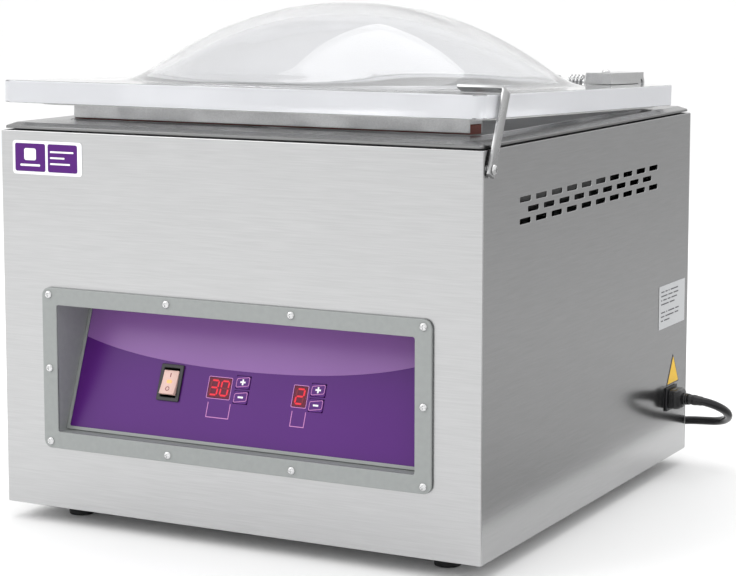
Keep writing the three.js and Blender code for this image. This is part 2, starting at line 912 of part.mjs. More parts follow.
// ---- Mains inlet, connector and cord ----
function addMains() {
  const outside = WIDTH / 2;
  // A block about the inlet's own middle, by half its width and half its height.
  const centred = (x0, x1, halfWidth, halfHeight) =>
    block(
      x0,
      x1,
      INLET_Y - halfWidth,
      INLET_Y + halfWidth,
      INLET_Z - halfHeight,
      INLET_Z + halfHeight,
    );
  const inlet = cut(
    join(
      centred(outside - 22, outside + 0.6, INLET_HALF_WIDTH - 0.6, INLET_HALF_HEIGHT - 0.6),
      centred(outside + GAP, outside + FLANGE, INLET_HALF_WIDTH + 1, INLET_HALF_HEIGHT + 1),
    ),
    centred(outside - 16, outside + 5, 11, 8),
  );
  add("power_inlet", inlet, blackPlastic);

  const face = outside + FLANGE + GAP;
  const grip = CONNECTOR - 6;
  add(
    "power_connector",
    join(
      centred(face - 16, face + 1, 10.6, 7.6),
      sideways(
        roundedOutline(INLET_Y - 13, INLET_Y + 13, INLET_Z - 10, INLET_Z + 10, 5, 3),
        face,
        face + grip,
      ),
      rod("x", face + grip - 1, INLET_Y, INLET_Z, CONNECTOR - grip + 1, 8.5, 5.2, 16),
    ),
    blackPlastic,
  );

  add("mains_cable", hose(cordRoute(face + CONNECTOR + GAP), CORD_RADIUS, 30), rubber);

  const inner = COIL_RADIUS - 2 * CORD_RADIUS - GAP;
  const outer = COIL_RADIUS + 2 * CORD_RADIUS + GAP;
  const ring = [
    [inner, GAP],
    [outer, GAP],
    [outer, 6 * CORD_RADIUS],
    [inner, 6 * CORD_RADIUS],
    [inner, GAP],
  ].map(([r, h]) => new THREE.Vector2(r, h));
  const coil = new THREE.LatheGeometry(ring, 32).rotateX(Math.PI / 2);
  add("mains_coil", coil.translate(COIL_X, COIL_Y, 0), rubber);

  const plugY = COIL_Y - COIL_RADIUS;
  const plugEnd = COIL_X - PLUG_REACH;
  const body = rod("x", plugEnd - 42, plugY, PLUG_Z, 42, 13.5, 6.5, 16);
  const pins = [-1, 1].map((side) =>
    rod("x", plugEnd - 61, plugY + side * 9.5, PLUG_Z, 20, 2.4, 2.4, 12),
  );
  add("mains_plug", join(body, ...pins), blackPlastic);
}

// Out of the connector, half a turn back behind the machine, down to the table and to the coil.
function cordRoute(start) {
  const backward = (LOOP_BACK - INLET_Y) / 2;
  const downward = (INLET_Z - LOOP_LOW) / 2;
  const radius = Math.hypot(backward, downward);
  const straight = 2;
  const points = [[start, INLET_Y, INLET_Z]];
  for (let i = 0; i <= 8; i += 1) {
    const turn = (i / 8) * Math.PI;
    const share = 1 - Math.cos(turn);
    points.push([
      start + straight + radius * Math.sin(turn),
      INLET_Y + backward * share,
      INLET_Z - downward * share,
    ]);
  }
  const coilSide = COIL_Y - COIL_RADIUS;
  points.push(
    [start - 16, coilSide - 13, 44.5],
    [start - 34, coilSide - 10.5, 41.5],
    [start - 53, coilSide - 6.5, 36],
    [start - 72, coilSide - 2, 27.5],
    [start - 92, coilSide, 17.5],
    [start - 112, coilSide, 9.8],
    [start - 131, coilSide, 5.8],
    [start - 148, coilSide, CORD_RADIUS + 0.3],
    [COIL_X + 40, coilSide, CORD_RADIUS + 0.2],
  );
  return points;
}

addCasing();
addDeck();
addChamber();
addFeet();
addBezel();
addBezelScrews();
addControls();
addLid();
addCounterBar();
addHinges();
addLatch();
addSealBar();
addWorks();
addMains();

export default machine;
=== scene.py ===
"""A table-top chamber vacuum packing machine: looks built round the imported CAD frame, in metres."""

import json
import math
from itertools import product

import bmesh
import bpy
from mathutils import Matrix, Vector

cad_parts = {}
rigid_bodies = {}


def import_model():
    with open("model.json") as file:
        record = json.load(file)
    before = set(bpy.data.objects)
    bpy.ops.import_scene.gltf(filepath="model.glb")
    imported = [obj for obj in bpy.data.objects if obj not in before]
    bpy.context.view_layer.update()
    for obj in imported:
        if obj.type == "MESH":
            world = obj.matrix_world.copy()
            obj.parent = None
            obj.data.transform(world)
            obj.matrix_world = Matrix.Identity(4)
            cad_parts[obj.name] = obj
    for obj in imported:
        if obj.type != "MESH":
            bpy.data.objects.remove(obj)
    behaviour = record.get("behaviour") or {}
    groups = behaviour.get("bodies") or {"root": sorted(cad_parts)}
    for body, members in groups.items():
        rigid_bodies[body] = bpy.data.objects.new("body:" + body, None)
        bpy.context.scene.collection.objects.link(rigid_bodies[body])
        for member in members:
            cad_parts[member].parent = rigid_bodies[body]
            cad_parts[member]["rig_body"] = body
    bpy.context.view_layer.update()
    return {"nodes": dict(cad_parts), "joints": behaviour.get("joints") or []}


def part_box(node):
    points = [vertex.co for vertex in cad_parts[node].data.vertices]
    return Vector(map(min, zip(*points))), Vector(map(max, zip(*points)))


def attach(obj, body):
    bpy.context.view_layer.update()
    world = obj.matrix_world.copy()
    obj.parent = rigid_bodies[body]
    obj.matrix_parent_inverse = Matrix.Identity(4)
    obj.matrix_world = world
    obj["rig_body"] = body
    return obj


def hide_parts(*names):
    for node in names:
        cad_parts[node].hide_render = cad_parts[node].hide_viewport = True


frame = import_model()
joints = {joint["name"]: joint for joint in frame["joints"]}

X, Y, Z = Vector((1, 0, 0)), Vector((0, 1, 0)), Vector((0, 0, 1))

# ---- Places read from the frame ----
case_low, case_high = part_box("front_panel")
MIDDLE = (case_low.x + case_high.x) / 2
FRONT = case_low.y
HALF = (case_high.x - case_low.x) / 2
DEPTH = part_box("rear_cover")[1].y - FRONT
FOOT = case_low.z
PANEL_TOP = case_high.z
DECK_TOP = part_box("top_deck")[1].z
SHEET = 0.0015

HINGE = Vector(joints["lid_hinge"]["pos_m"])
LID_REST = -math.radians(joints["lid_hinge"]["range_deg"][0])
LATCH = Vector(joints["latch_swing"]["pos_m"])


def at(x, depth, z):
    """A point by its distance right of the middle, its depth behind the front sheet and its height."""
    return Vector((MIDDLE + x, FRONT + depth, z))


def face(origin, across, up):
    """The frame of a face: its own X runs across it, its Y up it and its Z out of it."""
    turn = Matrix((across, up, across.cross(up))).transposed().to_4x4()
    return Matrix.Translation(origin) @ turn


TILT = math.radians(20.4)
PANEL_DEPTH, PANEL_FOOT = 0.011, 0.091
FRONT_FACE = face(at(0, 0, 0), X, Z)
BACK_FACE = face(at(0, DEPTH, 0), -X, Z)
RIGHT_FACE = face(at(HALF, 0, 0), Y, Z)
LEFT_FACE = face(at(-HALF, 0, 0), -Y, Z)
PANEL = face(at(0, PANEL_DEPTH, PANEL_FOOT), X, Vector((0, math.sin(TILT), math.cos(TILT))))
LID_TIP = Matrix.Translation(HINGE) @ Matrix.Rotation(-LID_REST, 4, "X") @ Matrix.Translation(-HINGE)


def shown(name, data):
    """A new object in the scene."""
    made = bpy.data.objects.new(name, data)
    bpy.context.scene.collection.objects.link(made)
    return made


# ---- Camera ----
def add_camera():
    data = bpy.data.cameras.new("camera")
    data.sensor_width = 36
    data.lens = 106.6
    data.shift_y = -0.0815
    camera = shown("camera", data)
    camera.location = (0.98635, -1.8763, 0.524)
    down, round_right = 7.05, 27.68
    camera.rotation_euler = (math.radians(90 - down), 0, math.radians(round_right))
    bpy.context.scene.camera = camera


add_camera()


# ---- Materials ----
class Finish:
    """A Principled material whose even values are set on its sockets and whose patterns are nodes."""

    def __init__(self, name, colour, roughness, metallic=0.0, **values):
        self.material = bpy.data.materials.new(name)
        self.material.use_nodes = True
        self.tree = self.material.node_tree
        self.shader = self.tree.nodes["Principled BSDF"]
        self.set("Base Color", (*colour, 1))
        self.set("Roughness", roughness)
        self.set("Metallic", metallic)
        for socket, value in values.items():
            self.set(socket.replace("_", " "), value)

    def set(self, socket, value):
        self.shader.inputs[socket].default_value = value

    def node(self, kind, **values):
        made = self.tree.nodes.new(kind)
        for socket, value in values.items():
            made.inputs[socket.replace("_", " ")].default_value = value
        return made

    def link(self, output, target):
        self.tree.links.new(output, target)

    def noise(self, scale, detail=4.0, stretch=(1, 1, 1)):
        """Noise in object space, stretched along the axes whose share is small."""
        place = self.node("ShaderNodeTexCoord")
        mapping = self.node("ShaderNodeMapping", Scale=stretch)
        pattern = self.node("ShaderNodeTexNoise", Scale=scale, Detail=detail)
        self.link(place.outputs["Object"], mapping.inputs["Vector"])
        self.link(mapping.outputs["Vector"], pattern.inputs["Vector"])
        return pattern.outputs["Fac"]

    def spread(self, pattern, low, high, target, start=0.3, end=0.7):
        """Turns a pattern into a range of one of the shader's values."""
        ranged = self.node("ShaderNodeMapRange", From_Min=start, From_Max=end, To_Min=low, To_Max=high)
        self.link(pattern, ranged.inputs["Value"])
        self.link(ranged.outputs["Result"], self.shader.inputs[target])

    def tint(self, pattern, dark, light, start=0.3, end=0.7):
        """Colours the surface between two shades by a pattern."""
        ramp = self.node("ShaderNodeValToRGB")
        for element, position, colour in zip(ramp.color_ramp.elements, (start, end), (dark, light)):
            element.position = position
            element.color = (*colour, 1)
        self.link(pattern, ramp.inputs["Fac"])
        self.link(ramp.outputs["Color"], self.shader.inputs["Base Color"])

    def bump(self, pattern, distance, strength=1.0):
        made = self.node("ShaderNodeBump", Distance=distance, Strength=strength)
        self.link(pattern, made.inputs["Height"])
        self.link(made.outputs["Normal"], self.shader.inputs["Normal"])


def grey(value):
    return (value, value * 1.005, value * 1.01)


def brushed(name, along, level, roughness):
    """Stainless sheet with grain running along X or along Y."""
    stretch = (0.03, 1, 1) if along == "x" else (1, 0.03, 1)
    made = Finish(name, grey(level), roughness, 1.0, Anisotropic=0.4, Anisotropic_Rotation=0.25)
    grain = made.noise(950, 4, stretch)
    made.tint(grain, grey(level * 0.93), grey(level * 1.05), 0.25, 0.75)
    made.spread(grain, roughness * 0.94, roughness * 1.06, "Roughness")
    made.bump(grain, 0.000005, 0.4)
    return made.material


def satin(name, level, roughness, scale=900):
    """Machined or plated metal with a fine uneven grain."""
    made = Finish(name, grey(level), roughness, 1.0)
    grain = made.noise(scale, 3)
    made.tint(grain, grey(level * 0.9), grey(level * 1.05))
    made.spread(made.noise(40, 2), roughness * 0.8, roughness * 1.25, "Roughness")
    made.bump(grain, 0.00002, 0.4)
    return made.material


def shades(colour, share, lift=0.0):
    """A darker and a lighter shade of a colour, for a faint pattern."""
    dark = tuple(part * (1 - share) for part in colour)
    return dark, tuple(min(1.0, part * (1 + share) + lift) for part in colour)


def moulded(name, colour, roughness, grain=0.00004, scale=1400):
    """Moulded plastic or rubber with a fine pebbled skin."""
    made = Finish(name, colour, roughness, Specular_IOR_Level=0.45)
    pebbles = made.noise(scale, 2)
    made.tint(made.noise(180, 2), *shades(colour, 0.03, 0.001))
    made.spread(pebbles, roughness * 0.9, min(1.0, roughness * 1.1), "Roughness")
    made.bump(pebbles, grain, 0.6)
    return made.material


def film(name, colour, roughness=0.3, glow=0.0, gloss=0.3):
    """Printed polyester film: an even colour with a faint gloss."""
    made = Finish(name, colour, roughness, Specular_IOR_Level=gloss)
    made.tint(made.noise(9, 2), *shades(colour, 0.03))
    if glow:
        made.set("Emission Color", (*colour, 1))
        made.set("Emission Strength", glow)
    return made.material


def clear(name, roughness, tint, share):
    """Cast acrylic: mostly clear, with the given share of light let through and the rest milky."""
    made = Finish(name, tint, roughness, IOR=1.49, Transmission_Weight=share)
    haze = made.noise(60, 3)
    made.spread(haze, roughness, roughness + 0.02, "Roughness")
    return made.material


STEEL_X = brushed("steel_front", "x", 0.5, 0.3)
# Same stainless as the front sheet: the grain along Y and the higher gloss are the side sheets' own, the
# lower level is painted shade for the shaded sides.
STEEL_Y_SHADED = brushed("steel_side_painted_shade", "y", 0.44, 0.17)
# The deck's stainless is darkened well below the front's: painted shade for the lid's shadow over the deck.
STEEL_DECK_SHADED = brushed("steel_deck_painted_shade", "x", 0.23, 0.26)
STEEL_DARK = satin("steel_plated", 0.42, 0.38)
STEEL_HOOK = satin("steel_hook", 0.46, 0.3)
ALUMINIUM = satin("aluminium", 0.62, 0.34)
# The counter bar's aluminium is set lighter than the other aluminium: painted light that lifts the bar out
# of the lid's shade.
BAR_METAL_LIT = satin("aluminium_bar_painted_light", 0.66, 0.5)
ZINC = satin("zinc", 0.7, 0.22, 500)
ACRYLIC = clear("acrylic", 0.01, (0.95, 0.955, 0.97), 0.88)
ACRYLIC_CUT = clear("acrylic_cut", 0.3, (0.8, 0.81, 0.84), 0.4)
GREY_PLASTIC = moulded("grey_plastic", (0.29, 0.305, 0.3), 0.5)
PURPLE = film("purple_film", (0.085, 0.012, 0.170), gloss=0.2)
PURPLE_LIGHT = film("purple_film_light", (0.25, 0.11, 0.35))
PINK_LINE = film("pink_line", (0.62, 0.25, 0.55), 0.4)
WHITE_PRINT = film("white_print", (0.9, 0.9, 0.92), 0.4)
WINDOW = film("display_window", (0.12, 0.004, 0.028), 0.25, gloss=0.2)
LED = film("led_lit", (0.62, 0.012, 0.03), 0.4, 0.5)
LED_OFF = film("led_off", (0.19, 0.008, 0.026), 0.4)
MILKY = film("rocker_milky", (0.74, 0.50, 0.44), 0.25)
AMBER = film("rocker_lamp", (1.0, 0.42, 0.14), 0.3, 0.4)
BLACK_PLASTIC = moulded("black_plastic", (0.016, 0.016, 0.018), 0.42)
BLACK_RUBBER = moulded("black_rubber", (0.012, 0.012, 0.013), 0.7)
CORD_SKIN = moulded("cord_skin", (0.006, 0.006, 0.007), 0.2, 0.00001, 500)
CONNECTOR_SKIN = moulded("connector_skin", (0.008, 0.008, 0.009), 0.25, 0.00001, 500)
RED_SILICONE = moulded("red_silicone", (0.16, 0.035, 0.022), 0.6)
GREY_SILICONE = moulded("grey_silicone", (0.6, 0.6, 0.59), 0.65)
BOARD = moulded("circuit_board", (0.015, 0.12, 0.05), 0.45)
PAINT = moulded("pump_paint", (0.05, 0.075, 0.1), 0.4)
LABEL = film("label_grey", (0.52, 0.53, 0.54), 0.45)
LABEL_INK = film("label_ink", (0.10, 0.10, 0.11), 0.5)
YELLOW = film("yellow_film", (0.85, 0.52, 0.02), 0.35)


# ---- Shapes ----
def piece(name, mesh, material, body, angle=20):
    """A named object for a mesh, smooth apart from its sharp edges, riding on a CAD body."""
    mesh.name = name
    for one in material if isinstance(material, list) else [material]:
        mesh.materials.append(one)
    mesh.polygons.foreach_set("use_smooth", [True] * len(mesh.polygons))
    mesh.set_sharp_from_angle(angle=math.radians(angle))
    made = shown(name, mesh)
    if body:
        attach(made, body)
    return made


def rounded(x0, x1, y0, y1, radius, side=1, corner=6):
    """A rounded rectangle, anticlockwise, with the same number of points on every side and corner."""
    centres = (
        (x1 - radius, y1 - radius, 0),
        (x0 + radius, y1 - radius, 1),
        (x0 + radius, y0 + radius, 2),
        (x1 - radius, y0 + radius, 3),
    )
    arcs = []
    for x, y, quarter in centres:
        turns = [(quarter + step / corner) * math.pi / 2 for step in range(corner + 1)]
        arcs.append([(x + radius * math.cos(a), y + radius * math.sin(a)) for a in turns])
    points = []
    for arc, following in zip(arcs, arcs[1:] + arcs[:1]):
        points += arc
        (ax, ay), (bx, by) = arc[-1], following[0]
        points += [(ax + (bx - ax) * step / side, ay + (by - ay) * step / side) for step in range(1, side)]
    return points


def around(x, y, half, tall, radius, corner):
    """A rounded rectangle about its middle."""
    return rounded(x - half, x + half, y - tall, y + tall, radius, 1, corner)


def cross(arm, half):
    """A plus-shaped outline about the origin."""
    points = [(arm, half), (half, half), (half, arm), (-half, arm), (-half, half), (-arm, half)]
    return points + [(-x, -y) for x, y in points]


def circle(x, y, radius, sides):
    turns = [2 * math.pi * step / sides for step in range(sides)]
    return [(x + radius * math.cos(a), y + radius * math.sin(a)) for a in turns]


def sheet_mesh(outline, thickness, edge, holes=()):
    """A flat plate with softly rounded edges, standing on its own Z = 0."""
    curve = bpy.data.curves.new("outline", "CURVE")
    curve.dimensions = "2D"
    curve.fill_mode = "BOTH"
    curve.extrude = thickness / 2 - edge
    curve.bevel_depth = edge
    curve.bevel_resolution = 1
    curve.offset = -edge
    for loop in [outline, *[list(reversed(hole)) for hole in holes]]:
        spline = curve.splines.new("POLY")
        spline.points.add(len(loop) - 1)
        for point, (x, y) in zip(spline.points, loop):
            point.co = (x, y, 0, 1)
        spline.use_cyclic_u = True
    holder = shown("outline", curve)
    graph = bpy.context.evaluated_depsgraph_get()
    mesh = bpy.data.meshes.new_from_object(holder.evaluated_get(graph), depsgraph=graph)
    bpy.data.objects.remove(holder)
    bpy.data.curves.remove(curve)
    mesh.materials.clear()
    shape = bmesh.new()
    shape.from_mesh(mesh)
    bmesh.ops.remove_doubles(shape, verts=shape.verts, dist=0.000005)
    bmesh.ops.translate(shape, verts=shape.verts, vec=(0, 0, thickness / 2))
    bmesh.ops.recalc_face_normals(shape, faces=shape.faces)
    shape.to_mesh(mesh)
    shape.free()
    return mesh


def parented(child, parent):
    """Lets a printed or fitted detail move with the piece that it is on."""
    child.parent = parent
    child.matrix_parent_inverse = Matrix.Identity(4)


def plate(name, outline, thickness, material, body, place, edge, holes=(), lift=0.0):
    mesh = sheet_mesh(outline, thickness, edge, holes)
    mesh.transform(place @ Matrix.Translation((0, 0, lift)))
    return piece(name, mesh, material, body)


def loft_mesh(rings, closed=False):
    """A skin over rings of equal length: joined last to first if closed, and else capped."""
    count = len(rings[0])
    points = [point for ring in rings for point in ring]
    faces = []
    last = len(rings) if closed else len(rings) - 1
    for i in range(last):
        a, b = i * count, (i + 1) % len(rings) * count
        for j in range(count):
            k = (j + 1) % count
            faces.append((a + j, a + k, b + k, b + j))
    if not closed:
        faces.append(tuple(reversed(range(count))))
        faces.append(tuple(range((len(rings) - 1) * count, len(rings) * count)))
    mesh = bpy.data.meshes.new("loft")
    mesh.from_pydata([tuple(point) for point in points], [], faces)
    shape = bmesh.new()
    shape.from_mesh(mesh)
    bmesh.ops.recalc_face_normals(shape, faces=shape.faces)
    shape.to_mesh(mesh)
    shape.free()
    return mesh


def turned_mesh(profile, sides):
    """A lathed solid about its own Z from (radius, height) points, both ends capped."""
    rings = [[(x, y, height) for x, y in circle(0, 0, radius, sides)] for radius, height in profile]
    return loft_mesh(rings)


def turned(name, profile, material, body, place, sides):
    mesh = turned_mesh(profile, sides)
    mesh.transform(place)
    return piece(name, mesh, material, body)


def smooth_route(points, steps):
    """Points along a Catmull-Rom curve through the given ones."""
    ends = [2 * points[0] - points[1], *points, 2 * points[-1] - points[-2]]
    route = []
    for a, b, c, d in zip(ends, ends[1:], ends[2:], ends[3:]):
        for step in range(steps):
            t = step / steps
            squared = (2 * a - 5 * b + 4 * c - d) * t * t
            cubed = (3 * b - a - 3 * c + d) * t ** 3
            route.append(0.5 * (2 * b + (c - a) * t + squared + cubed))
    route.append(points[-1].copy())
    return route


def tube_mesh(route, radii, sides):
    """A round tube along a route, whose radius may change from point to point."""
    rings = []
    side = (route[1] - route[0]).orthogonal().normalized()
    for i, point in enumerate(route):
        ahead = (route[min(i + 1, len(route) - 1)] - route[max(i - 1, 0)]).normalized()
        side = (side - ahead * side.dot(ahead)).normalized()
        other = ahead.cross(side)
        radius = radii[i] if isinstance(radii, list) else radii
        rings.append([point + side * x + other * y for x, y in circle(0, 0, radius, sides)])
    return loft_mesh(rings)


SHARP = math.radians(30)


def refine(node, material, edge):
    """Stands a copy of a CAD node, with its flat faces joined and its edges broken, in its place."""
    source = frame["nodes"][node]
    mesh = bpy.data.meshes.new(node + "_finished")
    shape = bmesh.new()
    shape.from_mesh(source.data)
    bmesh.ops.remove_doubles(shape, verts=shape.verts, dist=0.00001)
    bmesh.ops.dissolve_limit(shape, angle_limit=math.radians(1), verts=shape.verts, edges=shape.edges)
    if edge:
        sharp = [e for e in shape.edges if len(e.link_faces) == 2 and e.calc_face_angle() > SHARP]
        bmesh.ops.bevel(
            shape, geom=sharp, offset=edge, offset_type="OFFSET", segments=2, profile=0.5,
            affect="EDGES", clamp_overlap=True,
        )
    shape.to_mesh(mesh)
    shape.free()
    for name in [a.name for a in mesh.attributes if a.name == "custom_normal"]:
        mesh.attributes.remove(mesh.attributes[name])
    made = piece(node + "_finished", mesh, material, source["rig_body"])
    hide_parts(node)
    return made


# ---- Mains cord ----
CORD = 0.0043
TIE_THICK = 0.0007
GAP, FLOOR_GAP = 0.0003, 0.0002
CONNECTOR_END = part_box("power_connector")[1].x + GAP - MIDDLE
INLET_DEPTH, INLET_HEIGHT = 0.462, 0.078
LOOP_BACK, LOOP_LOW = 0.514, 0.046
coil_low, coil_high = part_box("mains_coil")
COIL = (coil_low + coil_high) / 2
COIL_RADIUS = (coil_high.x - coil_low.x) / 2 - 2 * CORD - GAP
PLUG_END = Vector((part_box("mains_plug")[1].x, COIL.y - COIL_RADIUS, 0.014))


def cord_route():
    """Out of the connector, half a turn back behind the machine, down to the table and to the coil."""
    backward, downward = (LOOP_BACK - INLET_DEPTH) / 2, (INLET_HEIGHT - LOOP_LOW) / 2
    radius, steps = math.hypot(backward, downward), 8
    straight = 0.002
    points = [at(CONNECTOR_END, INLET_DEPTH, INLET_HEIGHT)]
    for step in range(steps + 1):
        turn = step / steps * math.pi
        share = 1 - math.cos(turn)
        out = CONNECTOR_END + straight + radius * math.sin(turn)
        points.append(at(out, INLET_DEPTH + backward * share, INLET_HEIGHT - downward * share))
    side = COIL.y - COIL_RADIUS - FRONT
    for x, depth, height in (
        (-0.016, -0.0130, 0.0445),
        (-0.034, -0.0105, 0.0415),
        (-0.053, -0.0065, 0.0360),
        (-0.072, -0.0020, 0.0275),
        (-0.092, 0.0, 0.0175),
        (-0.112, 0.0, 0.0098),
        (-0.131, 0.0, 0.0058),
        (-0.148, 0.0, 0.0046),
    ):
        points.append(at(CONNECTOR_END + x, side + depth, height))
    for x, nearer in ((0.040, 0.0), (0.020, 0.003)):
        points.append(Vector((COIL.x + x, COIL.y - COIL_RADIUS - nearer, CORD + FLOOR_GAP)))
    return points


def coil_turns():
    """Four turns, stacked two wide and three high: each stage ends at an angle, a radius and a height."""
    inner, outer = COIL_RADIUS - CORD, COIL_RADIUS + CORD
    low = CORD + TIE_THICK + FLOOR_GAP
    middle, high = low + 2 * CORD, low + 4 * CORD
    stages = (
        (-90, outer, low), (-330, outer, low), (-420, inner, low), (-630, inner, low),
        (-690, inner, middle), (-900, inner, middle), (-960, outer, middle), (-1200, outer, middle),
        (-1260, outer, high), (-1530, outer, high),
    )
    points = []
    for (a0, r0, z0), (a1, r1, z1) in zip(stages, stages[1:]):
        steps = round((a0 - a1) / 10)
        for step in range(steps):
            share = step / steps
            ease = share * share * (3 - 2 * share)
            angle = math.radians(a0 + (a1 - a0) * share)
            radius = r0 + (r1 - r0) * ease
            x, y = radius * math.cos(angle), radius * math.sin(angle)
            points.append(Vector((COIL.x + x, COIL.y + y, z0 + (z1 - z0) * ease)))
    return points


def cord_end():
    """Off the top of the coil and down to the plug."""
    outer = COIL_RADIUS + CORD
    high = 5 * CORD + TIE_THICK + FLOOR_GAP
    run, drop, steps = COIL.x - PLUG_END.x, high - PLUG_END.z, 6
    points = []
    for step in range(steps + 1):
        share = step / steps
        ease = share * share * (3 - 2 * share)
        points.append(Vector((COIL.x - run * share, COIL.y - outer + CORD * ease, high - drop * ease)))
    return points


def add_cord():
    route = smooth_route(cord_route() + coil_turns() + cord_end(), 3)
    curve = bpy.data.curves.new("mains_cord", "CURVE")
    curve.dimensions = "3D"
    curve.bevel_depth = CORD
    curve.bevel_resolution = 5
    curve.use_fill_caps = True
    spline = curve.splines.new("POLY")
    spline.points.add(len(route) - 1)
    for point, place in zip(spline.points, route):
        point.co = (*place, 1)
    spline.use_smooth = True
    curve.materials.append(CORD_SKIN)
    cord = shown("mains_cord", curve)
    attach(cord, "casing")
    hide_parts("mains_cable", "mains_coil")
    length = sum((b - a).length for a, b in zip(route, route[1:]))
    return cord, route, length


def add_tie():
    """A hook-and-loop band round the coil's turns, on the side away from the machine."""
    slack, half = 0.0001, 0.007
    wide, high = 2 * CORD + slack, 3 * CORD + slack
    thick = TIE_THICK
    outer = rounded(-wide - thick, wide + thick, -high - thick, high + thick, 0.004)
    inner = rounded(-wide, wide, -high, high, 0.0034)
    middle = Vector((COIL.x, COIL.y + COIL_RADIUS, 3 * CORD + thick + FLOOR_GAP))
    across = face(middle - X * half, Y, Z)
    band = plate("cord_tie", outer, 2 * half, BLACK_RUBBER, "casing", across, 0.0002, [inner])
    tail = rounded(0, 0.022, -half, half, 0.002)
    top = face(middle + Z * (high + thick) - Y * 0.004, Y, -X)
    end = plate("cord_tie_tail", tail, 0.0012, BLACK_RUBBER, "casing", top, 0.0003)
    return [band, end]


def add_plug():
    """A two-pin mains plug with a ribbed tail."""
    start = Matrix.Translation(PLUG_END) @ Matrix.Rotation(-math.pi / 2, 4, "Y")
    grip = [(0.0046, 0.0), (0.0052, 0.0005)]
    for rib in range(4):
        base = 0.002 + rib * 0.0035
        radius = 0.0054 + rib * 0.0004
        grip += [(radius, base), (radius + 0.0009, base + 0.0005), (radius + 0.0009, base + 0.0018)]
        grip += [(radius, base + 0.0023)]
    grip += [(0.0074, 0.0165), (0.0096, 0.0200), (0.0112, 0.0250), (0.0120, 0.0310), (0.0126, 0.0350)]
    grip += [(0.0132, 0.0370), (0.0133, 0.0405), (0.0129, 0.0418), (0.0124, 0.0420)]
    body = turned("plug_body", grip, BLACK_PLASTIC, "casing", start, 40)
    pins = []
    for side in (-1, 1):
        pin = [(0.0024, 0.0), (0.0024, 0.0185), (0.0021, 0.0196), (0.0012, 0.0200)]
        place = start @ Matrix.Translation((0, side * 0.0095, 0.0415))
        pins.append(turned(f"plug_pin_{side + 2}", pin, ZINC, "casing", place, 20))
    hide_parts("mains_plug")
    return [body, *pins]


def add_connector(route):
    """The moulded connector in the inlet, and the tapered strain relief on the cord's first stretch."""
    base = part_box("power_inlet")[1].x - MIDDLE + GAP
    place = face(at(base, INLET_DEPTH, INLET_HEIGHT), Y, Z)

    def section(width, height, out, radius):
        points = rounded(-width, width, -height, height, radius, 3, 5)
        return [place @ Vector((x, y, out)) for x, y in points]

    sections = (
        (0.0122, 0.0092, 0.0000, 0.0040),
        (0.0130, 0.0100, 0.0008, 0.0045),
        (0.0130, 0.0100, 0.0042, 0.0045),
        (0.0125, 0.0096, 0.0047, 0.0045),
        (0.0125, 0.0096, 0.0054, 0.0045),
        (0.0130, 0.0099, 0.0059, 0.0045),
        (0.0127, 0.0098, 0.0086, 0.0048),
        (0.0117, 0.0093, 0.0108, 0.0056),
        (0.0096, 0.0082, 0.0121, 0.0064),
        (0.0066, 0.0064, 0.0126, 0.0060),
    )
    shell = loft_mesh([section(*sizes) for sizes in sections])
    body = piece("connector_body", shell, CONNECTOR_SKIN, "casing", 40)
    nose = plate(
        "connector_nose", rounded(-0.0106, 0.0106, -0.0076, 0.0076, 0.002), 0.016, BLACK_PLASTIC,
        "casing", place, 0.0004, lift=-0.016,
    )
    parented(nose, body)
    lead = [at(base + out, INLET_DEPTH, INLET_HEIGHT) for out in (0.0115, 0.0145)]
    travelled, stretch, relief_length = 0.0, [route[0]], 0.018
    for a, b in zip(route, route[1:]):
        travelled += (b - a).length
        stretch.append(b)
        if travelled > relief_length:
            break
    radii = []
    path = smooth_route([*lead, *stretch[::3]], 6)
    for i in range(len(path)):
        share = i / (len(path) - 1)
        ridge = 0.0004 if i % 4 < 2 and share < 0.95 else 0.0
        radii.append(0.0062 - 0.0014 * share + ridge)
    relief = piece("strain_relief", tube_mesh(path, radii, 24), CONNECTOR_SKIN, "casing", 50)
    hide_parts("power_connector")
    return [body, relief]


cord, route, cord_length = add_cord()
carried = add_connector(route) + add_tie() + add_plug()


# ---- Floor and light ----
def flat(name, across, back, height, material):
    """One level face between two values of X and two of Y."""
    (x0, x1), (y0, y1) = across, back
    mesh = bpy.data.meshes.new(name)
    corners = [(x0, y0, height), (x1, y0, height), (x1, y1, height), (x0, y1, height)]
    mesh.from_pydata(corners, [], [(0, 1, 2, 3)])
    mesh.materials.append(material)
    return mesh


def add_stage():
    far = 40
    paper = Finish("floor_paper", (0.96, 0.96, 0.96), 0.9, Specular_IOR_Level=0.1)
    paper.tint(paper.noise(2, 2), (0.955, 0.955, 0.955), (0.965, 0.965, 0.965))
    floor = shown("floor", flat("floor", (-far, far), (-far, far), 0, paper.material))

    world = bpy.data.worlds.new("studio")
    world.use_nodes = True
    sky = world.node_tree.nodes["Background"].inputs
    sky["Color"].default_value = (1, 1, 1, 1)
    sky["Strength"].default_value = 1.05
    bpy.context.scene.world = world
    bpy.context.scene.view_settings.view_transform = "Standard"

    # A grey card that only polished surfaces see, so that the right-hand side reads as shaded.
    shade = Finish("card_grey", (0.44, 0.44, 0.44), 0.9).material
    card = shown("card", flat("card", (0.32, 39), (-0.9, 39), 0.001, shade))
    card.visible_camera = False
    card.visible_diffuse = False
    card.visible_shadow = False
    card.visible_transmission = False

    lamps = (
        ("key", (-2.2, -2.4, 2.3), 2.2, 40),
        ("top", (0.1, 0.5, 2.6), 2.4, 22),
    )
    for name, place, size, power in lamps:
        data = bpy.data.lights.new(name, "AREA")
        data.shape = "SQUARE"
        data.size = size
        data.energy = power
        lamp = shown(name, data)
        lamp.location = place
        aim = Vector((0, 0, 0.2)) - lamp.location
        lamp.rotation_euler = aim.to_track_quat("-Z", "Y").to_euler()


add_stage()


# ---- Casing ----
CORNER = 0.0012
BOWL_HALF, BOWL_NEAR, BOWL_FAR, BOWL_CORNER = 0.212, 0.049, 0.437, 0.024
LID_HALF, LID_DEPTH, LID_SLAB = 0.244, 0.461, 0.0205
LID_TOP = HINGE.z


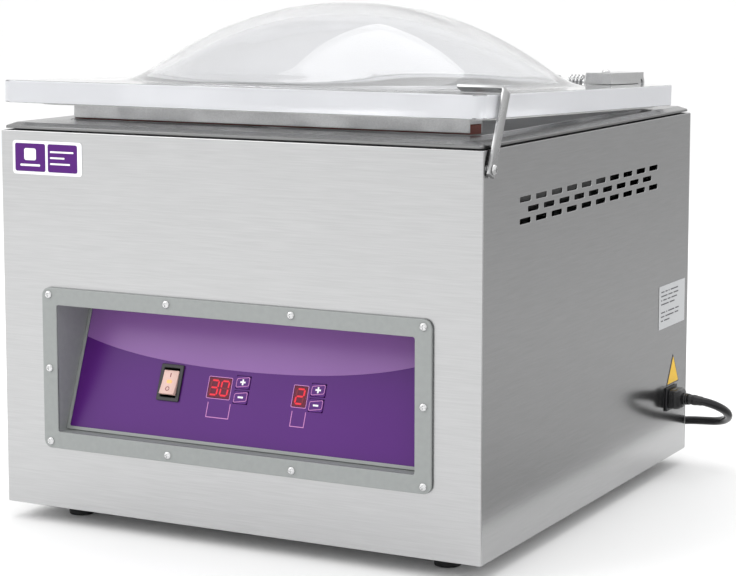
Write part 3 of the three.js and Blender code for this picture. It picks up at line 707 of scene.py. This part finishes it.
def vent_slots(turn):
    """Three staggered rows of slots, 10, 9 and 10, on a side sheet whose own X is depth times turn."""
    slots, pitch, half, tall = [], 0.035, 0.012, 0.0024
    for count, first, height in ((10, 0.088, 0.319), (9, 0.1055, 0.3095), (10, 0.088, 0.300)):
        for step in range(count):
            x = turn * (first + step * pitch)
            slots.append(around(x, height, half, tall, 0.0016, 4))
    return slots


def add_casing():
    recess = rounded(-0.188, 0.188, 0.085, 0.2115, 0.003)
    front = plate(
        "front_sheet", rounded(-HALF, HALF, FOOT, PANEL_TOP, CORNER, 1, 3), SHEET, STEEL_X, "casing",
        FRONT_FACE, 0.0005, [recess], lift=-SHEET,
    )
    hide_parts("front_panel")
    near, far = SHEET + GAP, DEPTH - SHEET - GAP
    inlet = rounded(INLET_DEPTH - 0.014, INLET_DEPTH + 0.014, 0.067, 0.089, 0.0008)
    right = plate(
        "right_sheet", rounded(near, far, FOOT, PANEL_TOP, 0.0006, 1, 2), SHEET, STEEL_Y_SHADED, "casing",
        RIGHT_FACE, 0.0004, [*vent_slots(1), inlet], lift=-SHEET,
    )
    left = plate(
        "left_sheet", rounded(-far, -near, FOOT, PANEL_TOP, 0.0006, 1, 2), SHEET, STEEL_Y_SHADED, "casing",
        LEFT_FACE, 0.0004, vent_slots(-1), lift=-SHEET,
    )
    rear = plate(
        "rear_sheet", rounded(-HALF, HALF, FOOT, PANEL_TOP, CORNER, 1, 3), SHEET, STEEL_X, "casing",
        BACK_FACE, 0.0005, lift=-SHEET,
    )
    for made, node in ((right, "side_panel_right"), (left, "side_panel_left"), (rear, "rear_cover")):
        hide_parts(node)


def ring(x0, x1, y0, y1, radius, height):
    """A rounded rectangle in the casing's own plan, at a height."""
    side, corner = 10, 6
    return [at(x, y, height) for x, y in rounded(x0, x1, y0, y1, radius, side, corner)]


def add_deck():
    """The top sheet: a lip that drops over the panels, a bevel, a flat rim and a rolled mouth."""
    edge = 0.002
    low = PANEL_TOP + 0.0016

    def outer(inset, height, radius=0.004):
        return ring(inset - HALF, HALF - inset, inset, DEPTH - inset, radius, height)

    def mouth(out, height):
        grown = out + GAP
        half, near, far = BOWL_HALF + grown, BOWL_NEAR - grown, BOWL_FAR + grown
        return ring(-half, half, near, far, BOWL_CORNER + out, height)

    rings = [
        outer(edge, low),
        outer(edge, low + 0.0018),
        outer(edge + 0.0006, low + 0.0026),
        outer(edge + 0.0060, DECK_TOP - 0.0005),
        outer(edge + 0.0072, DECK_TOP),
        mouth(0.0012, DECK_TOP),
        mouth(0.0004, DECK_TOP - 0.0004),
        mouth(0.0, DECK_TOP - 0.0012),
        mouth(0.0, DECK_TOP - 0.0040),
        mouth(0.0015, DECK_TOP - 0.0040),
        mouth(0.0015, DECK_TOP - 0.0016),
        outer(edge + 0.0075, DECK_TOP - 0.0016),
        outer(edge + 0.0020, low + 0.0012),
        outer(edge + 0.0015, low),
    ]
    # The deck sheet takes the darkened steel: painted shade.
    deck = piece("deck_sheet", loft_mesh(rings, True), STEEL_DECK_SHADED, "casing")
    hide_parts("top_deck")


def add_chamber():
    """The drawn chamber: a thin bowl with a coved floor, and a perforated cover over its suction port."""
    floor, wall = 0.247, 0.002
    top = DECK_TOP - GAP

    def bowl(inset, height, extra=0.0):
        half, near, far = BOWL_HALF - inset, BOWL_NEAR + inset, BOWL_FAR - inset
        return ring(-half, half, near, far, max(0.004, BOWL_CORNER - inset + extra), height)

    cove, steps = 0.014, 4
    rings = [bowl(0.12, floor, 0.1)]
    for step in range(steps + 1):
        turn = step / steps * math.pi / 2
        rings.append(bowl(wall + cove - cove * math.sin(turn), floor + cove - cove * math.cos(turn), 0.006))
    rings += [bowl(wall, top - 0.0005), bowl(wall - 0.0005, top), bowl(0.0005, top), bowl(0, top - 0.0005)]
    rings += [bowl(0, floor + 0.012), bowl(0.0035, floor + 0.0035), bowl(0.012, floor - wall)]
    rings.append(bowl(0.12, floor - wall, 0.1))
    chamber = piece("chamber_bowl", loft_mesh(rings), STEEL_X, "casing", 25)
    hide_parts("vacuum_chamber")
    hole, spread = 0.0022, 0.0075
    holes = [circle(0, 0, hole, 12)]
    for number in range(6):
        turn = number * math.pi / 3
        holes.append(circle(spread * math.cos(turn), spread * math.sin(turn), hole, 12))
    cover = plate(
        "port_cover", circle(0, 0, 0.014, 36), 0.0015, ZINC, "casing", face(at(0.12, 0.38, floor), X, Y),
        0.0004, holes, lift=0.0002,
    )


def add_feet():
    profile = [(0.0095, 0.0), (0.0116, 0.0004), (0.0120, 0.0014), (0.0122, 0.0060)]
    profile += [(0.0126, 0.0066), (0.0134, 0.0110), (0.0139, 0.0152), (0.0136, 0.0157)]
    for node in ("foot_front_left", "foot_front_right", "foot_rear_left", "foot_rear_right"):
        low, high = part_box(node)
        centre = (low + high) / 2
        place = Matrix.Translation((centre.x, centre.y, 0.0))
        foot = turned(node + "_moulded", profile, BLACK_RUBBER, "casing", place, 36)
        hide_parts(node)


def carved(mesh, tool):
    """The first mesh with the second one cut out of it."""
    blank, cutter = shown("blank", mesh), shown("cutter", tool)
    modifier = blank.modifiers.new("cut", "BOOLEAN")
    modifier.object = cutter
    modifier.operation = "DIFFERENCE"
    graph = bpy.context.evaluated_depsgraph_get()
    cut = bpy.data.meshes.new_from_object(blank.evaluated_get(graph), depsgraph=graph)
    for one in (blank, cutter):
        bpy.data.objects.remove(one)
    cut.materials.clear()
    return cut


def recessed_head(radius, height, material, name, place, body="casing"):
    """A domed screw head with a cross recess."""
    profile = [(radius * 0.97, 0.0), (radius, height * 0.25), (radius * 0.94, height * 0.5)]
    profile += [(radius * 0.78, height * 0.78), (radius * 0.5, height * 0.95), (radius * 0.1, height)]
    recess = cross(radius * 0.55, radius * 0.12)
    flare = 1.1
    bottom = [(x, y, height * 0.45) for x, y in recess]
    tool = loft_mesh([bottom, [(x * flare, y * flare, height * 1.3) for x, y in recess]])
    mesh = carved(turned_mesh(profile, 32), tool)
    mesh.transform(place)
    return piece(name, mesh, material, body, 30)


# ---- Control recess ----
OPEN_X, OPEN_LOW, OPEN_HIGH = 0.184, 0.089, 0.2075
BEZEL_THICK = 0.003
SLOPE = 1 / math.cos(TILT)


def on_panel(x, depth, height):
    """Where a line straight into the recess meets the tilted panel, in casing terms."""
    run = (height - PANEL_FOOT) * math.tan(TILT)
    return at(x, PANEL_DEPTH + run + depth, height)


def add_bezel():
    half, low, high = 0.200, 0.073, 0.2235
    out = BEZEL_THICK + GAP
    frame_plate = plate(
        "bezel_frame", rounded(-half, half, low, high, 0.008, 1, 8), BEZEL_THICK, GREY_PLASTIC, "casing",
        FRONT_FACE, 0.0008, [rounded(-OPEN_X, OPEN_X, OPEN_LOW, OPEN_HIGH, 0.002, 1, 4)], lift=GAP,
    )
    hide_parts("control_bezel")

    def well(grow, depth=None):
        half, low, high = OPEN_X + grow, OPEN_LOW - grow, OPEN_HIGH + grow
        points = rounded(-half, half, low, high, 0.002 + grow, 8, 4)
        if depth is None:
            return [on_panel(x, 0.0018, z) for x, z in points]
        return [at(x, depth, z) for x, z in points]

    wall = 0.0024
    walls = loft_mesh([well(0.0, 0.0006 - out), well(0.0), well(wall), well(wall, 0.0012 - out)], True)
    recess = piece("bezel_recess", walls, GREY_PLASTIC, "casing", 40)

    bottom, top = (OPEN_LOW - PANEL_FOOT) * SLOPE, (OPEN_HIGH - PANEL_FOOT) * SLOPE
    outer = rounded(-OPEN_X + 0.0001, OPEN_X - 0.0001, bottom + 0.0002, top - 0.0002, 0.002)
    inner = rounded(-OPEN_X + 0.0032, OPEN_X - 0.0032, bottom + 0.0034, top - 0.0034, 0.0015)
    lip = plate("bezel_lip", outer, 0.0014, GREY_PLASTIC, "casing", PANEL, 0.0004, [inner], lift=0.0001)


def add_bezel_screws():
    for number in range(1, 11):
        node = f"bezel_screw_{number:02d}"
        low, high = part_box(node)
        centre = (low + high) / 2
        place = face(Vector((centre.x, FRONT - BEZEL_THICK - GAP, centre.z)), X, Z)
        head = recessed_head(0.0036, 0.0021, ZINC, node + "_head", place)
        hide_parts(node)


def printed(name, outline, material, owner, height, holes=(), thickness=0.00012, place=PANEL):
    mesh = sheet_mesh(outline, thickness, 0.00003, holes)
    mesh.transform(place @ Matrix.Translation((0, 0, height)))
    parented(piece(name, mesh, material, None), owner)


def add_overlay():
    panel = refine("control_overlay", PURPLE, 0.0)
    top = (OPEN_HIGH - PANEL_FOOT) * SLOPE - 0.0036
    edge, steps, sweep = OPEN_X - 0.0034, 48, []
    for step in range(steps + 1):
        x = -edge + 2 * edge * step / steps
        away = x + 0.010
        sweep.append((x, 0.068 + 0.43 * away ** 2 + 7.0 * away ** 4))
    printed("panel_sweep", [*sweep, (edge, top), (-edge, top)], PURPLE_LIGHT, panel, 0.00004)
    for name, x, width in (("vacuum", -0.026, 0.024), ("seal", 0.0565, 0.0145)):
        low, high, line = 0.0235, 0.0375, 0.0007
        left, right = x - width / 2, x + width / 2
        bracket = [
            (left, low), (right, low), (right, high), (right - line, high),
            (right - line, low + line), (left + line, low + line), (left + line, high), (left, high),
        ]
        printed(f"bracket_{name}", bracket, PINK_LINE, panel, 0.00004)


SEGMENTS = {"0": "abcdef", "2": "abged", "3": "abgcd"}


def add_digit(name, figure, x, y, owner):
    """A seven-segment figure, lit and unlit bars alike."""
    wide, high, bar, lean = 0.0037, 0.0066, 0.00082, 0.08
    spots = {
        "a": (0, high, 0), "b": (wide, high / 2, 1), "c": (wide, -high / 2, 1), "d": (0, -high, 0),
        "e": (-wide, -high / 2, 1), "f": (-wide, high / 2, 1), "g": (0, 0, 0),
    }
    for letter, (dx, dy, upright) in spots.items():
        length = (high if upright else wide * 2) / 2 - bar * 0.35
        shape = [(-length, 0), (bar - length, bar), (length - bar, bar)]
        shape += [(length, 0), (length - bar, -bar), (bar - length, -bar)]
        if upright:
            shape = [(-b, a) for a, b in shape]
        bars = [(x + dx + a + (dy + b) * lean, y + dy + b) for a, b in shape]
        lit = letter in SEGMENTS[figure]
        printed(f"{name}_{letter}", bars, LED if lit else LED_OFF, owner, 0.00024)


def add_displays():
    for node, x, width, figures in (
        ("display_vacuum", -0.0285, 0.023, "30"),
        ("display_seal", 0.055, 0.0135, "2"),
    ):
        y, height = 0.051, 0.0185
        outline = around(x, y, width / 2, height / 2, 0.0006, 3)
        window = plate(node + "_window", outline, 0.004, WINDOW, "casing", PANEL, 0.0002, lift=-0.0038)
        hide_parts(node)
        for place, figure in enumerate(figures):
            offset = (place - (len(figures) - 1) / 2) * 0.0108
            add_digit(f"{node}_figure_{place + 1}", figure, x + offset, y, window)
        outer, inner = (
            around(x, y, width / 2 + out, height / 2 + out, radius, 3)
            for out, radius in ((0.0010, 0.0012), (0.0004, 0.0008))
        )
        printed(node + "_border", outer, PINK_LINE, window, 0.00004, [inner])


def add_keys():
    """Four keys under the film: a purple cap with a pale border and a plus or a minus."""
    width, height, skew, line = 0.0145, 0.0115, 0.16, 0.0005
    arm, bar = 0.0027, 0.0008
    for node, x, y, body in (
        ("button_vacuum_up", -0.0048, 0.0582, "key_vacuum_up"),
        ("button_vacuum_down", -0.0048, 0.0444, "key_vacuum_down"),
        ("button_seal_up", 0.0725, 0.0582, "key_seal_up"),
        ("button_seal_down", 0.0725, 0.0444, "key_seal_down"),
    ):
        outline = around(x, y, width / 2, height / 2, 0.002, 5)
        cap = plate(node + "_cap", outline, 0.0045, PURPLE, body, PANEL, 0.0004, lift=-0.0036)
        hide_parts(node)

        a, b = width / 2 - 0.0006, height / 2 - 0.0016
        border, within = around(x, y, a, b, 0.0014, 4), around(x, y, a - line, b - line, 0.001, 4)
        border, within = ([(px, py + (px - x) * skew) for px, py in loop] for loop in (border, within))
        printed(node + "_border", border, PINK_LINE, cap, 0.00088, [within])
        minus = [(-arm, -bar), (arm, -bar), (arm, bar), (-arm, bar)]
        sign = cross(arm, bar) if node.endswith("up") else minus
        sign = [(x + px, y + py) for px, py in sign]
        printed(node + "_sign", sign, WHITE_PRINT, cap, 0.00088)


def add_switch():
    """The rocker switch: a black rim with a milky paddle, its two marks and its lamp."""
    x, y = -0.0805, 0.051
    hole = around(x, y, 0.0083, 0.0136, 0.0006, 3)
    rim = plate(
        "switch_rim", around(x, y, 0.012, 0.017, 0.0012, 4), 0.0018, BLACK_PLASTIC, "casing", PANEL,
        0.0005, [hole], lift=0.0001,
    )
    well = plate(
        "switch_well", around(x, y, 0.0099, 0.0149, 0.0008, 3), 0.017, BLACK_PLASTIC, "casing", PANEL,
        0.0003, [hole], lift=-0.0171,
    )
    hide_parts("switch_housing")
    half, wide, steps = 0.0116, 0.0158, 10
    low, rise, dip = 0.0023, 0.0033, 0.0026
    side = [(-0.0085, -0.006), (-0.0085, 0.006), (-0.0005, half - 0.0004), (0.0019, half - 0.0004)]
    for step in range(steps + 1):
        share = step / steps
        up = (half - 0.0010) * (1 - share) + (0.0008 - half) * share
        side.append((low + rise * share - dip * share * (1 - share), up))
    side += [(0.0052, 0.0004 - half), (-0.0005, 0.0002 - half)]
    mesh = sheet_mesh(side, wide, 0.0004)
    mesh.transform(PANEL @ Matrix.Translation((x + wide / 2, y, 0)) @ face(Vector(), Z, Y))
    paddle = piece("rocker_paddle", mesh, MILKY, "rocker", 40)
    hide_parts("switch_rocker")

    def on_paddle(up):
        """The frame of the paddle's hollow face at a height on it."""
        length = 2 * half - 0.0018
        share = (half - 0.0010 - up) / length
        proud = low + rise * share - dip * share * (1 - share)
        lean = math.atan2(rise - dip * (1 - 2 * share), length)
        return PANEL @ Matrix.Translation((x, y + up, proud)) @ Matrix.Rotation(-lean, 4, "X")

    bar = rounded(-0.0004, 0.0004, -0.0019, 0.0019, 0.0003, 1, 2)
    printed("rocker_mark_on", bar, LED_OFF, paddle, 0.00005, (), 0.00015, on_paddle(0.0068))
    printed(
        "rocker_mark_off", circle(0, 0, 0.0021, 28), LED_OFF, paddle, 0.00005,
        [circle(0, 0, 0.0015, 28)], 0.00015, on_paddle(-0.0062),
    )
    printed(
        "rocker_lamp", rounded(-0.0028, 0.0028, -0.0016, 0.0016, 0.0012, 1, 4), AMBER, paddle, 0.00005,
        (), 0.0002, on_paddle(0.0006),
    )


# ---- Lid ----
DOME_HALF, DOME_MIDDLE, DOME_REACH, DOME_RISE, DOME_WALL = 0.201, 0.235, 0.190, 0.077, 0.009
FOOT_HALF, FOOT_MIDDLE, FOOT_REACH = 0.209, 0.238, 0.193
LID_UNDER = LID_TOP - LID_SLAB


def add_lid():
    """The slab and its blown dome, as one closed skin of rings that all follow the slab's outline."""
    side, corner, round_off = 30, 8, 0.009
    outline = rounded(-LID_HALF, LID_HALF, 0, LID_DEPTH, round_off, side, corner)

    def slab(inset, height):
        radius = round_off - inset
        points = rounded(inset - LID_HALF, LID_HALF - inset, inset, LID_DEPTH - inset, radius, side, corner)
        return [at(x, y, height) for x, y in points]

    def rim(half, middle, reach, power):
        """A superellipse's points, each in the direction of one of the slab's."""
        points = []
        for x, y in outline:
            u, v = x / half, (y - middle) / reach
            scale = (abs(u) ** power + abs(v) ** power) ** (-1 / power)
            points.append(Vector((x * scale, (y - middle) * scale)))
        return points

    def placed(points, middle, share, height):
        return [at(x * share, middle + y * share, height) for x, y in points]

    def fall(share):
        return 1 - share ** 2.15

    dome = rim(DOME_HALF, DOME_MIDDLE, DOME_REACH, 2.5)
    hollow = rim(DOME_HALF - DOME_WALL, DOME_MIDDLE, DOME_REACH - DOME_WALL, 2.5)
    foot = rim(FOOT_HALF, FOOT_MIDDLE, FOOT_REACH, 3.0)
    crown, neck, steps = 0.9, 0.93, 24
    shares = [math.sin(step / steps * math.pi / 2) for step in range(1, steps)]
    shares = [share for share in shares if share < crown] + [neck]
    rings = [placed(dome, DOME_MIDDLE, share, LID_TOP + DOME_RISE * fall(share)) for share in shares]
    start = placed(dome, DOME_MIDDLE, neck, 0)
    end = placed(foot, FOOT_MIDDLE, 1, 0)
    # The apron: a curve that leaves the dome at its own slope and lies flat at the foot.
    high, slope, apron = DOME_RISE * fall(neck), -0.0168, 8
    for step in range(1, apron + 1):
        t = step / apron
        height = high * (2 * t ** 3 - 3 * t ** 2 + 1) + slope * (t ** 3 - 2 * t ** 2 + t)
        rings.append([a.lerp(b, t) + Z * (LID_TOP + height) for a, b in zip(start, end)])
    bevel = 0.0012
    mid = bevel * 0.3
    rings += [slab(bevel, LID_TOP), slab(mid, LID_TOP - mid), slab(0, LID_TOP - bevel)]
    rings += [slab(0, LID_UNDER + bevel), slab(mid, LID_UNDER + mid), slab(bevel, LID_UNDER)]
    inner_top, inner_rise = LID_TOP - 0.002, DOME_RISE - DOME_WALL + 0.002
    rings.append(placed(hollow, DOME_MIDDLE, 1.010, LID_UNDER))
    rings.append(placed(hollow, DOME_MIDDLE, 1.002, LID_UNDER + 0.0015))
    for share in [1.0, 0.985, 0.96, *reversed(shares)]:
        rings.append(placed(hollow, DOME_MIDDLE, share, inner_top + inner_rise * fall(share)))
    mesh = loft_mesh(rings)
    mesh.transform(LID_TIP)
    lid = piece("lid_acrylic", mesh, [ACRYLIC, ACRYLIC_CUT], "lid")
    rim_width, smallest = 0.003, 0.00001
    for polygon in mesh.polygons:
        if abs(polygon.normal.z) < 0.5 and polygon.area > smallest:
            x, y = polygon.center.x - MIDDLE, polygon.center.y - FRONT
            if abs(x) > LID_HALF - rim_width or not rim_width <= y <= LID_DEPTH - rim_width:
                polygon.material_index = 1
    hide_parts("lid_dome")


def add_hinges():
    bolt_depth, bolt_height = 0.420, 0.0116
    for name in ("left", "right"):
        for node, material in (("hinge_arm_", ALUMINIUM), ("hinge_bracket_", STEEL_DARK)):
            made = refine(node + name, material, 0.0005)
        pin = refine("hinge_pin_" + name, ZINC, 0.0003)
        low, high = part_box("hinge_arm_" + name)
        top = Vector(((low.x + high.x) / 2, FRONT + bolt_depth, HINGE.z + bolt_height))
        place = LID_TIP @ Matrix.Translation(top)
        bolt = recessed_head(0.0043, 0.0030, ZINC, f"hinge_bolt_{name}", place, "lid")
        coil = piece(f"spring_{name}", spring_mesh(name), ZINC, "casing", 60)
        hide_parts("lid_spring_" + name)


def spring_mesh(name):
    """A torsion spring round the hinge pin's inner end, with one leg down to the deck."""
    side = -1 if name == "left" else 1
    start = MIDDLE + side * 0.136
    radius, wire, pitch, turns, steps = 0.0066, 0.0012, 0.004, 4, 16
    heights = (DECK_TOP + 0.002, DECK_TOP + 0.009, HINGE.z - 0.006)
    points = [Vector((start, HINGE.y + radius, height)) for height in heights]
    for step in range(turns * steps + 1):
        turn = step / steps * 2 * math.pi
        along = start - side * pitch * step / steps
        y, z = HINGE.y + radius * math.cos(turn), HINGE.z + radius * math.sin(turn)
        points.append(Vector((along, y, z)))
    return tube_mesh(smooth_route(points, 2), wire, 10)


def add_latch():
    """The hook: a flat bar bent over the lid, bored at its lower end for its screw."""
    reach, leg, wide, thick = 0.071, 0.045, 0.012, 0.003
    lean = math.radians(24)
    bend, steps = 0.0042, 6
    top = reach + thick / 2
    outer = [(thick, -wide / 2)]
    for step in range(steps + 1):
        turn = step / steps * math.pi / 2
        outer.append((thick - bend + bend * math.cos(turn), top - bend + bend * math.sin(turn)))
    outer.append((thick - leg, top))
    inner = [(thick - leg, top - thick)]
    small = bend - thick
    for step in range(steps + 1):
        turn = (1 - step / steps) * math.pi / 2
        inner.append((-small + small * math.cos(turn), top - thick - small + small * math.sin(turn)))
    inner.append((0.0, -wide / 2))
    mesh = sheet_mesh([*reversed(outer + inner)], wide, 0.0006)
    mesh.transform(Matrix.Translation((0, wide / 2, 0)) @ Matrix.Rotation(math.pi / 2, 4, "X"))
    bore = turned_mesh([(0.0033, -0.002), (0.0033, 0.006)], 32)
    bore.transform(Matrix.Rotation(math.pi / 2, 4, "Y"))
    mesh = carved(mesh, bore)
    mesh.transform(Matrix.Translation(LATCH) @ Matrix.Rotation(-lean, 4, "X"))
    hook = piece("hook_bar", mesh, STEEL_HOOK, "latch", 30)
    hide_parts("latch_hook")
    place = face(LATCH + X * (thick + GAP), Y, Z)
    head = recessed_head(0.0043, 0.0024, ZINC, "latch_screw_head", place)
    stem = turned(
        "latch_screw_stem", [(0.0043, -0.0012), (0.0043, -0.0003), (0.0029, -0.0003), (0.0029, 0.0034)],
        ZINC, "casing", face(LATCH, Y, Z), 32,
    )
    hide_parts("latch_screw")


# ---- Labels: plain shapes in place of the printed ones ----
def add_labels():
    """A badge of two fields with plain marks, a rating plate of dashes and a warning triangle."""
    over, proud = 0.0003, 0.00045

    def label(name, outline, place, material, lift=0.00015, thickness=0.0002):
        plate(name, outline, thickness, material, "casing", place, 0.00005, lift=lift)

    label("badge_edge", rounded(-0.232, -0.155, 0.327, 0.358, 0.003), FRONT_FACE, WHITE_PRINT)
    for name, left, right in (("mark", -0.2293, -0.1955), ("field", -0.1927, -0.1600)):
        label("badge_" + name, rounded(left, right, 0.3297, 0.3555, 0.002), FRONT_FACE, PURPLE, over)
    label("badge_bar", rounded(-0.2235, -0.2013, 0.3345, 0.3365, 0.0008), FRONT_FACE, WHITE_PRINT, proud)
    label("badge_block", rounded(-0.2190, -0.2058, 0.3400, 0.3510, 0.0020), FRONT_FACE, WHITE_PRINT, proud)
    left = -0.1900
    for line, width in enumerate((0.026, 0.016, 0.022)):
        low = 0.3476 - line * 0.0055
        bar = rounded(left, left + width, low, low + 0.0016, 0.0006)
        label(f"badge_line_{line + 1}", bar, FRONT_FACE, WHITE_PRINT, proud)

    label("rating_plate", rounded(0.424, 0.500, 0.153, 0.197, 0.001), RIGHT_FACE, LABEL)
    rows = (
        (0.1900, (0.009, 0.006, 0.003, 0.022)),
        (0.1858, (0.018, 0.012, 0.014)),
        (0.1816, (0.003, 0.010, 0.008, 0.016)),
        (0.1774, (0.022, 0.014)),
        (0.1690, (0.012, 0.003, 0.018, 0.010)),
        (0.1648, (0.010, 0.024, 0.011)),
        (0.1606, (0.006, 0.016)),
    )
    margin, space = 0.430, 0.003
    for row, (low, words) in enumerate(rows):
        start = margin
        for word, width in enumerate(words):
            dash = rounded(start, start + width, low, low + 0.0013, 0.0004)
            label(f"rating_dash_{row + 1}_{word + 1}", dash, RIGHT_FACE, LABEL_INK, over, 0.00015)
            start += width + space
    edge = [(0.4505, 0.0916), (0.4860, 0.0916), (0.46825, 0.1220)]
    field = [(0.4527, 0.0929), (0.4838, 0.0929), (0.46825, 0.1196)]
    label("triangle_edge", edge, RIGHT_FACE, LABEL_INK)
    label("triangle_field", field, RIGHT_FACE, YELLOW, over)


def add_rear_screws():
    """Eight screws round the rear sheet's edge: three rows of three without the middle one."""
    middle = 5
    for number, (height, x) in enumerate(product((0.030, 0.1915, 0.353), (-0.230, 0.0, 0.230)), 1):
        if number == middle:
            continue
        place = face(at(x, DEPTH, height), -X, Z)
        head = recessed_head(0.0035, 0.0019, ZINC, f"rear_screw_{number}", place)


OTHERS = {
    "base_tray": STEEL_DARK,
    "control_board": BOARD,
    "lid_gasket": GREY_SILICONE,
    "counter_bar": BAR_METAL_LIT,
    "counter_bar_silicone": RED_SILICONE,
    "seal_bar": ALUMINIUM,
    "seal_lift_left": ALUMINIUM,
    "seal_lift_right": ALUMINIUM,
    "vacuum_pump": PAINT,
    "pump_motor": ALUMINIUM,
    "motor_fan": BLACK_PLASTIC,
    "suction_hose": BLACK_RUBBER,
    "solenoid_valve": STEEL_DARK,
    "transformer": STEEL_DARK,
    "power_inlet": BLACK_PLASTIC,
}

add_casing()
add_deck()
add_chamber()
add_feet()
add_bezel()
add_bezel_screws()
add_overlay()
add_displays()
add_keys()
add_switch()
add_lid()
add_hinges()
add_latch()
add_labels()
add_rear_screws()
for other, finish in OTHERS.items():
    refine(other, finish, 0.0003 if other in ("lid_gasket", "control_board") else 0.0005)
